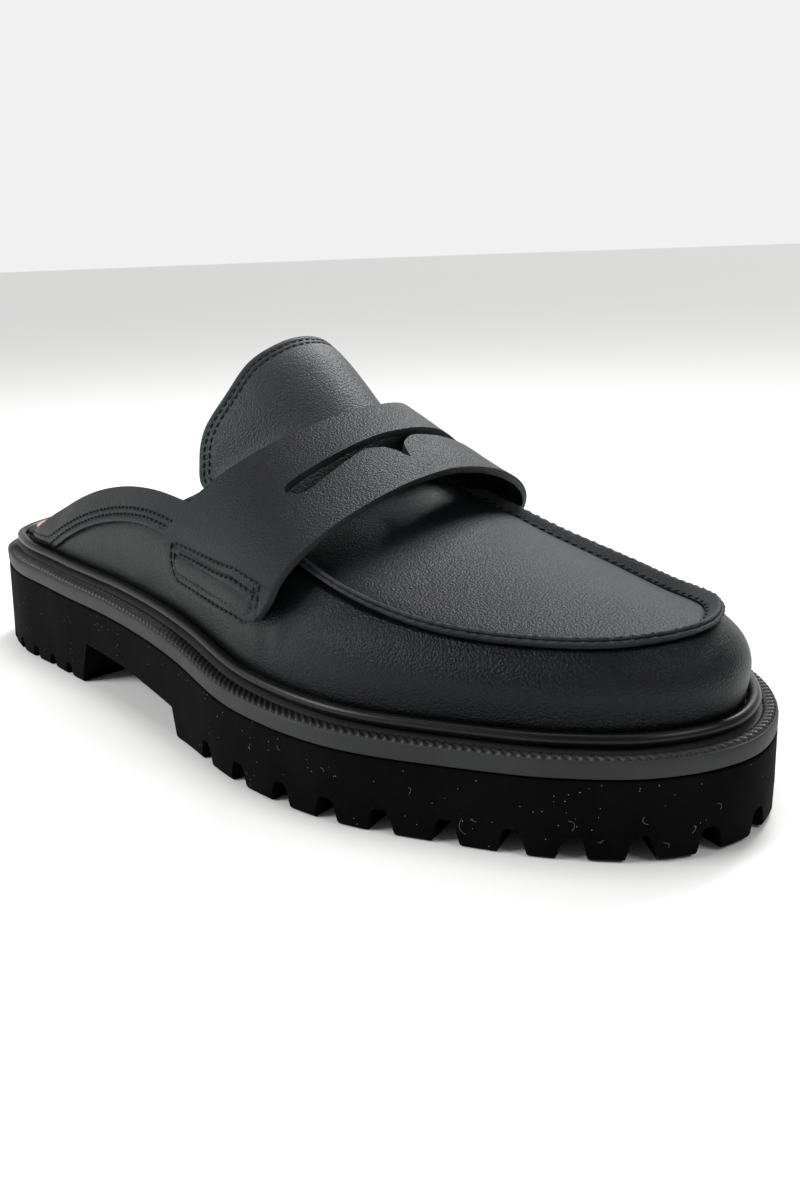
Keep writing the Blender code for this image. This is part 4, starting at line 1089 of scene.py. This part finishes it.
def make_lip():
    """Raised moc seam: two plies stood on edge, their raw tops side by side."""
    seam, inward = seam_frame()
    count = len(seam)
    fine = 900
    index = np.linspace(0, count - 1, fine)
    path = line_at(index, np.arange(count), seam[:, :3])
    way = line_at(index, np.arange(count), inward)
    way /= np.linalg.norm(way, axis=1)[:, None]
    grow = ease((path[:, 1] - THROAT_STATION - 0.002) / 0.005)
    reach = reach_along(path)
    rows = []
    tilt = math.radians(LIP_LEAN)
    for number, (aside, up) in enumerate(LIP_SECTION):
        beat = np.cos(2 * math.pi * reach / SEAM_STITCH[0] + number * 0.4)
        rough = np.array([noise.noise(Vector((r / (1.1 * MM), number * 0.7, 3.0))) for r in reach])
        top = 1.0 if up > 0.82 else 0.2 if up > 0.3 else 0.0
        a = aside * LIP_WIDTH + top * 0.10 * rough * MM
        b = up * LIP_HEIGHT * (grow if up > 0 else 1.0) + top * (0.20 * rough - 0.12 * beat) * MM
        x = 0.45 * LIP_WIDTH + a * math.cos(tilt) - b * math.sin(tilt)
        z = a * math.sin(tilt) + b * math.cos(tilt)
        rows.append(np.column_stack([path[:, :2] + way * np.reshape(x, (-1, 1)), path[:, 2] + z]))
    rows.append(rows[0])
    points = place(np.stack(rows, axis=1))
    shape = grid_on(points)
    bmesh.ops.remove_doubles(shape, verts=shape.verts[:], dist=1e-6)
    close_ring_ends(shape)
    new_piece("moc_seam_lip", shape, [cut_edge], "upper", angle=70)
    stitches = bmesh.new()
    inner = np.column_stack([path[:, :2] + way * LIP_WIDTH * 1.0, path[:, 2] + 0.35 * MM])
    keep = path[:, 1] > THROAT_STATION + 0.006
    world_normal = np.column_stack([-way, np.ones(fine)])
    stitch_row(stitches, place(inner)[keep], world_normal[keep], *SEAM_STITCH, sink=0.35,
               slant=0.35)
    new_piece("moc_seam_stitches", stitches, [thread], angle=80)


def make_collar_stitches():
    """Two rows of stitches above the facing's lower edge, on both sides."""
    shape = bmesh.new()
    for side in (1, -1):
        for above in COLLAR_ROWS:
            path, out = [], []
            for station in np.linspace(TAIL_STATION + 0.001, THROAT_STATION - 0.030, 200):
                foot, top = wall_column(side, station)
                height = top[2] - seat_line(foot[1])[0] - CLEARANCE
                share = facing_edge(foot, top) + FACING_GAP + above / height
                if share > 0.97 or height * share < 2.6 * MM:
                    continue
                spot, normal = wall_spot(side, station, share)
                path.append(spot + normal * FACING_STEP * 0.75)
                out.append(normal)
            world_out = np.array(out) * [-1, -1, 1]
            stitch_row(shape, place(path), world_out, *COLLAR_STITCH)
    new_piece("collar_stitches", shape, [thread], angle=80)


# ---- Tongue ----

def tongue_rows(count):
    start = THROAT_HEIGHT + PLUG_CROWN - WALL - 4 * CLEARANCE
    rise = THROAT_HEIGHT + TONGUE_RISE - start
    table = np.array(TONGUE_ROWS) * [-TONGUE_REACH, rise, TONGUE_HALF_WIDTH, TONGUE_HALF_WIDTH,
                                     1.0, TONGUE_OFFSET]
    table[:, :2] += [THROAT_STATION, start]
    knots = reach_along(table[:, :3])
    return make_curve(knots, table)(np.linspace(0, knots[-1], count))


def tongue_grid(count=150, across=100):
    lean = math.radians(TONGUE_LEAN)
    rows = []
    for station, height, outer, inner, curl, aside in tongue_rows(count):
        w = np.linspace(1, -1, across + 1)
        out = w * np.where(w > 0, outer, inner)
        fall = TONGUE_CURL * curl * (out / TONGUE_HALF_WIDTH) ** 2
        rows.append(np.column_stack([out - aside, station - fall * math.sin(lean) * curl,
                                     height - fall * math.cos(lean)]))
    return np.stack(rows, axis=0)


def edge_distance(points):
    """Distance of each grid point from the tongue's free edge, its sides and its top."""
    free = np.vstack([points[:, 0], points[-1, :], points[:, -1][::-1]])
    flat = points.reshape(-1, 3)
    gap = np.full(len(flat), 1.0)
    for chunk in np.array_split(free, 12):
        ways = flat[:, None, :] - chunk[None, ::2, :]
        gap = np.minimum(gap, np.linalg.norm(ways, axis=2).min(axis=1))
    return gap.reshape(points.shape[:2])


def grid_at(grid, spots):
    """Values of a grid at places between its rows and columns."""
    low = np.minimum(spots.astype(int), np.array(grid.shape[:2]) - 2)
    r, c = low.T
    f, g = ((spots - low)[:, k].reshape((-1,) + (1,) * (grid.ndim - 2)) for k in (0, 1))
    return (grid[r, c] * (1 - f) * (1 - g) + grid[r + 1, c] * f * (1 - g)
            + grid[r, c + 1] * (1 - f) * g + grid[r + 1, c + 1] * f * g)


def edge_path(points, normals, gap, inset_by, steps=420):
    """Path at a distance inside the tongue's free edge, from side to side over its top."""
    rows, columns = gap.shape
    hub = np.array([rows * 0.42, (columns - 1) / 2])
    reach = np.linspace(0, 1.2, 500)[:, None]
    path, out = [], []
    for angle in np.linspace(-0.62 * math.pi, 0.62 * math.pi, steps):
        way = np.array([math.cos(angle) * rows, math.sin(angle) * columns])
        spots = hub + way * reach
        inside = (spots >= 0) & (spots <= [rows - 1, columns - 1])
        spots = spots[inside.all(axis=1)]
        near = grid_at(gap, spots)
        if near.min() > inset_by:
            continue
        k = int(np.argmax(near <= inset_by))
        path.append(grid_at(points, spots[k:k + 1])[0])
        out.append(grid_at(normals, spots[k:k + 1])[0])
    return np.array(path), np.array(out)


TONGUE_EDGE_ROWS = (1.7 * MM, 3.3 * MM)


def make_tongue():
    spots = tongue_grid()
    points = place(spots)
    out = normals_of(points)
    if out[:, :, 2].sum() < 0:
        out = -out
    gap = edge_distance(points)
    groove = -0.30 * MM * sum(np.exp(-((gap - row) / (0.42 * MM)) ** 2) for row in TONGUE_EDGE_ROWS)
    soft = wander(points, 0.030, 9) * 0.30 * MM + wander(points, 0.012, 10) * 0.06 * MM
    points = points + out * (groove + soft)[..., None]
    shape = grid_on(points)
    face_out(shape)
    tongue = new_piece("tongue_leaf", shape, [tongue_calf_painted_light, lining], "tongue",
                       angle=60)
    add_wall(tongue, TONGUE_THICKNESS, round_edge=0.7 * MM, lining=1)
    stitches = bmesh.new()
    for inset_by in TONGUE_EDGE_ROWS:
        path, normal = edge_path(points, out, gap, inset_by)
        stitch_row(stitches, path, normal, *TONGUE_STITCH)
    new_piece("tongue_stitches", stitches, [thread], angle=80)


# ---- Saddle strap ----

LEG_STEPS = 26
ARCH_STEPS = 150
REAR_CORNER = 6.0 * MM
FRONT_CORNER = 9.5 * MM
TAB_RISE = 0.055            # how much higher, as a share of the wall, the tab's front foot is
WALL_REACH = 34.0 * MM      # wall's height along its surface


def round_corner(run, radius):
    """How far an edge is pulled in at a distance from the end of a rounded corner."""
    if run >= radius:
        return 0.0
    return radius - math.sqrt(max(radius ** 2 - (radius - run) ** 2, 0.0))


def strap_lift(share, way, t):
    """Distance from the wall at a share of its height and of the leg, and over the facing."""
    return (STRAP_CLEARANCE + FACING_STEP * clamp((share - 0.45) / 0.12)
            + STRAP_LIFT * way ** 2 * t ** 2)


def strap_line(t):
    """Inner-surface points across the strap at a share t from its rear to its front."""
    legs = []
    for side in (1, -1):
        leg = []
        leave = STRAP_LEAVE[side]
        for k in range(LEG_STEPS):
            way = 1 - math.cos(k / (LEG_STEPS - 1) * math.pi / 2)
            foot = STRAP_FOOT + TAB_RISE * t
            run = way * (leave - foot) * WALL_REACH
            rear = (THROAT_STATION - TAB_REAR + TAB_LEAN / 2 * (1 - way)
                    + round_corner(run, REAR_CORNER))
            front = (THROAT_STATION + TAB_FRONT + TAB_SPREAD * way - TAB_LEAN * (1 - way)
                     - round_corner(run, FRONT_CORNER))
            station = rear * (1 - t) + front * t
            share = foot + (leave - foot) * way
            spot, out = wall_spot(side, station, share)
            leg.append(spot + out * strap_lift(share, way, t))
        legs.append(leg)
    crown = np.array(STRAP_REAR_CROWN) * (1 - t) + np.array(STRAP_FRONT_CROWN) * t
    crown[1] += THROAT_STATION
    crown[2] += THROAT_HEIGHT + STRAP_SWELL * math.sin(math.pi * t) - STRAP_THICKNESS
    power = 2 / (STRAP_REAR_FULLNESS * (1 - t) + STRAP_FRONT_FULLNESS * t)
    arch = []
    for k in range(1, ARCH_STEPS):
        angle = math.pi * k / ARCH_STEPS
        leg = legs[0][-1] if k <= ARCH_STEPS / 2 else legs[1][-1]
        spot = leg + (crown - leg) * math.sin(angle) ** power
        spot[0] = crown[0] + (leg[0] - crown[0]) * abs(math.cos(angle)) ** power
        arch.append(spot)
    return np.array(legs[0] + arch + legs[1][::-1])


def even_line(line, count):
    """The line with evenly spaced points and its sharp turns eased."""
    for _ in range(2):
        reach = reach_along(line)
        line = line_at(np.linspace(0, reach[-1], count), reach, line)
        for _ in range(6):
            line[3:-3] = (line[2:-4] + 2 * line[3:-3] + line[4:-2]) / 4
    return line


STRAP_COUNT = 341
TAB_COLUMNS = 56            # columns at each end that can carry the tab's relief
STRAP_SHARES = np.linspace(0, 1, 61)
STRAP = np.stack([even_line(strap_line(t), STRAP_COUNT) for t in STRAP_SHARES], axis=1)


def strap_at(column, t):
    """Point of the strap's inner surface at a column and a share of its width."""
    k = np.clip(t * (len(STRAP_SHARES) - 1), 0, len(STRAP_SHARES) - 1.0001)
    low = int(k)
    c = min(int(column), STRAP_COUNT - 2)
    f, g = column - c, k - low
    a = STRAP[c, low] * (1 - f) + STRAP[c + 1, low] * f
    b = STRAP[c, low + 1] * (1 - f) + STRAP[c + 1, low + 1] * f
    return a * (1 - g) + b * g


def slot_edges(column):
    """Rear and front edge of the slot at a column, equal outside of it."""
    table = np.array(SLOT_ROWS)
    curve = make_curve(table[:, 0], table[:, 1:])
    edges = []
    for edge in (0, 1):
        t = table[2, 1 + edge]
        for _ in range(4):
            q = abs(strap_at(column, t)[0] - SLOT_MIDDLE) / SLOT_HALF_LENGTH
            t = float(curve(min(q, 1.0))[0][edge])
        edges.append((q, t))
    if min(edges[0][0], edges[1][0]) >= 1.0:
        middle = (table[-1, 1] + table[-1, 2]) / 2
        return middle, middle
    return edges[0][1], edges[1][1]


# Stitched box of a tab: its rows from the tab's foot and, from the throat, its ends
TAB_BOX = {"low": 1.9 * MM, "high": 10.6 * MM, "rear": -33.6 * MM, "front": 12.6 * MM}
TAB_ROUNDS = (4.5 * MM, 8.0 * MM)


def tab_box_depth(run, along):
    """Signed distance inside the stitched box of a tab, rounded at its lower corners."""
    low = run - TAB_BOX["low"]
    high = TAB_BOX["high"] - run
    ends = (along - TAB_BOX["rear"], TAB_BOX["front"] - along)
    depth = np.minimum(np.minimum(low, high), np.minimum(*ends))
    for end, radius in zip(ends, TAB_ROUNDS):
        corner = (low < radius) & (end < radius)
        rounded = radius - np.hypot(radius - low, radius - end)
        depth = np.where(corner, np.minimum(rounded, high), depth)
    return depth


def tab_run(side, spot, t):
    """Distance of a strap point from its tab's foot, up along the wall."""
    foot, top = wall_column(side, spot[1])
    base = seat_line(foot[1])[0] + CLEARANCE
    rise = clamp((spot[2] - base) / (top[2] - base))
    share = math.asin(rise * math.sin(WALL_TURN)) / WALL_TURN
    return (share - STRAP_FOOT - TAB_RISE * t) * WALL_REACH


def tab_relief(run, along):
    """Swell of the padded box and the grooves of its stitches, on either tab."""
    depth = tab_box_depth(run, along)
    grooves = np.exp(-(depth / (0.6 * MM)) ** 2) + np.exp(-((depth - 2.0 * MM) / (0.6 * MM)) ** 2)
    pad = ease((depth - 2.2 * MM) / (1.7 * MM))
    return (-0.25 * grooves + 0.35 * pad) * MM


def tab_spot(side, run, along):
    """Point on a tab's outer face at a distance from its foot and from the throat."""
    t = (along + TAB_REAR) / (TAB_REAR + TAB_FRONT)
    foot = STRAP_FOOT + TAB_RISE * t
    share = foot + run / WALL_REACH
    spot, out = wall_spot(side, THROAT_STATION + along, share)
    way = (share - foot) / (STRAP_LEAVE[side] - foot)
    return spot + out * (strap_lift(share, way, t) + STRAP_THICKNESS), out


def make_strap():
    """Strap in two parts, behind and ahead of its slot, that meet beyond the slot's ends."""
    parts = []
    edges = [slot_edges(c) for c in range(STRAP_COUNT)]
    for rows, ahead in ((36, False), (44, True)):
        spots = np.zeros((STRAP_COUNT, rows + 1, 3))
        relief = np.zeros((STRAP_COUNT, rows + 1))
        for c, (rear, front) in enumerate(edges):
            side = 1 if c < STRAP_COUNT / 2 else -1
            for r in range(rows + 1):
                t = front + (1 - front) * r / rows if ahead else rear * r / rows
                spots[c, r] = strap_at(c, t)
                if min(c, STRAP_COUNT - 1 - c) < TAB_COLUMNS:
                    run = tab_run(side, spots[c, r], t)
                    relief[c, r] = tab_relief(run, spots[c, r, 1] - THROAT_STATION)
        parts.append((spots, relief))
    whole = place(np.concatenate([parts[0][0], parts[1][0]], axis=1))
    soft = wander(whole, 0.028, 12) * 0.22 * MM + wander(whole, 0.010, 13) * 0.07 * MM
    shape = bmesh.new()
    start = 0
    for spots, relief in parts:
        points = place(spots)
        out = normals_of(points)
        if out[STRAP_COUNT // 2, 2, 2] < 0:
            out = -out
        rows = spots.shape[1]
        points = points + out * (relief + soft[:, start:start + rows])[..., None]
        start += rows
        part = grid_on(points)
        mesh = bpy.data.meshes.new("strap_part")
        part.to_mesh(mesh)
        part.free()
        shape.from_mesh(mesh)
        bpy.data.meshes.remove(mesh)
    bmesh.ops.remove_doubles(shape, verts=shape.verts[:], dist=0.02 * MM)
    face_out(shape)
    strap = new_piece("saddle_strap_leaf", shape, [strap_calf_painted_light, lining, cut_edge], "saddle_strap",
                      angle=60)
    add_wall(strap, STRAP_THICKNESS, outwards=True)
    strap.modifiers["thickness"].material_offset_rim = 2


def tab_row(depth):
    """Corners of a stitch row at a depth inside a tab's box: distance from the foot, along."""
    low, high = TAB_BOX["low"] + depth, TAB_BOX["high"] - depth
    rear, front = TAB_BOX["rear"] + depth, TAB_BOX["front"] - depth
    rear_round, front_round = (max(radius - depth, 1.5 * MM) for radius in TAB_ROUNDS)
    turns = [math.pi / 2 * k / 8 for k in range(9)]
    row = [(high, rear)]
    row += [(low + rear_round * (1 - math.sin(a)), rear + rear_round * (1 - math.cos(a)))
            for a in turns]
    row += [(low + front_round * (1 - math.cos(a)), front - front_round * (1 - math.sin(a)))
            for a in turns]
    return row + [(high, front), (high, rear)]


def make_tab_stitches():
    """Two rows of stitches around the box on both tabs."""
    shape = bmesh.new()
    for side in (1, -1):
        for depth in (0.0, 2.0 * MM):
            row = np.array(tab_row(depth))
            reach = reach_along(row)
            wanted = np.arange(0, reach[-1], 0.8 * MM)
            found = [tab_spot(side, run, along) for run, along in line_at(wanted, reach, row)]
            path = np.array([spot - out * 0.20 * MM for spot, out in found])
            world_out = np.array([out for _, out in found]) * [-1, -1, 1]
            stitch_row(shape, place(path), world_out, *TAB_STITCH)
    new_piece("tab_stitches", shape, [thread], angle=80)


# ---- Studio ----

def make_floor():
    shape = bmesh.new()
    bmesh.ops.create_grid(shape, x_segments=1, y_segments=1, size=40.0)
    mesh = bpy.data.meshes.new("studio_floor")
    shape.to_mesh(mesh)
    shape.free()
    floor = bpy.data.objects.new("studio_floor", mesh)
    bpy.context.scene.collection.objects.link(floor)
    paper, _, shader, _ = start_material("white_paper_sweep", 0.9, 0.2)
    shader.inputs["Base Color"].default_value = linear("#f6f6f5")
    mesh.materials.append(paper)


def make_light(name, kind, energy, spot, way):
    """A lamp that shines along a way."""
    data = bpy.data.lights.new(name, kind)
    data.energy = energy
    lamp = bpy.data.objects.new(name, data)
    lamp.location = spot
    lamp.rotation_euler = Vector(way).to_track_quat("-Z", "Y").to_euler()
    bpy.context.scene.collection.objects.link(lamp)
    return data


def make_camera():
    """Camera at the photographed angle, a little rolled."""
    azimuth, rise, roll = (math.radians(a) for a in (-44.39, 16.46, -2.09))
    back = Vector((math.sin(azimuth) * math.cos(rise), -math.cos(azimuth) * math.cos(rise),
                   math.sin(rise)))
    right = Vector((0, 0, 1)).cross(back).normalized()
    up = back.cross(right)
    right, up = (right * math.cos(roll) + up * math.sin(roll),
                 up * math.cos(roll) - right * math.sin(roll))
    data = bpy.data.cameras.new("camera")
    data.sensor_fit = "VERTICAL"
    data.sensor_height = 36.0
    data.lens = 35.03
    data.shift_x = 0.0026
    data.shift_y = -0.00025
    data.clip_start = 0.01
    camera = bpy.data.objects.new("camera", data)
    spot = Vector((-0.2112155 + CENTRE, -0.2515031, 0.124625))
    turn = Matrix((right, up, back)).transposed().to_4x4()
    camera.matrix_world = Matrix.Translation(spot) @ turn
    bpy.context.scene.collection.objects.link(camera)
    bpy.context.scene.camera = camera


SUN_WAY = (-0.70, -0.22, -0.68)
# Softboxes: name, spot, aim, size in metres, watts
SOFTBOXES = (
    ("top_softbox", (0.14, 0.08, 0.90), (0.0, -0.03, 0.05), (0.5, 0.5), 4),
    ("front_softbox", (0.12, -0.80, 0.80), (0.0, -0.02, 0.06), (0.5, 0.4), 3.5),
    ("left_softbox", (-0.62, 0.36, 0.55), (0.0, 0.04, 0.03), (0.4, 0.3), 5),
)


def world_fade(tree, source, low, high, start, end):
    """Soft step of a direction's part between two heights or depths."""
    settings = {"interpolation_type": "SMOOTHSTEP", "From Min": low, "From Max": high,
                "To Min": start, "To Max": end}
    return add_node(tree, "ShaderNodeMapRange", settings, {"Value": source}).outputs[0]


def make_studio_light():
    """Pale room, bright low behind the shoe and dim elsewhere, a soft sun and softboxes."""
    world = bpy.data.worlds.new("studio")
    world.use_nodes = True
    tree = world.node_tree
    way = add_node(tree, "ShaderNodeTexCoord").outputs["Generated"]
    parts = add_node(tree, "ShaderNodeSeparateXYZ", links={0: way})
    behind = world_fade(tree, parts.outputs["Y"], -0.55, 0.35, 0.0, 1.0)
    low = world_fade(tree, parts.outputs["Z"], 0.24, 0.50, 1.0, 0.0)
    both = add_node(tree, "ShaderNodeMath", {"operation": "MULTIPLY"}, {0: behind, 1: low})
    glow = add_node(tree, "ShaderNodeMapRange", {"To Min": 0.15, "To Max": 0.88},
                    {"Value": both.outputs[0]})
    tree.links.new(glow.outputs[0], tree.nodes["Background"].inputs["Strength"])
    tree.nodes["Background"].inputs["Color"].default_value = (1.0, 1.0, 1.0, 1.0)
    bpy.context.scene.world = world
    bpy.context.scene.view_settings.view_transform = "Standard"
    make_light("right_top_light", "SUN", 2.4, (0.0, 0.0, 0.0), SUN_WAY).angle = math.radians(22)
    for name, spot, aim, size, watts in SOFTBOXES:
        data = make_light(name, "AREA", watts, spot, Vector(aim) - Vector(spot))
        data.shape = "RECTANGLE"
        data.size, data.size_y = size


for make in (make_outsole, make_band, make_ribs, make_bead, make_lint, make_footbed_rim, make_sock,
             make_vamp, make_plug, make_lip, make_collar_stitches, make_tongue, make_strap,
             make_tab_stitches, make_floor, make_camera, make_studio_light):
    make()
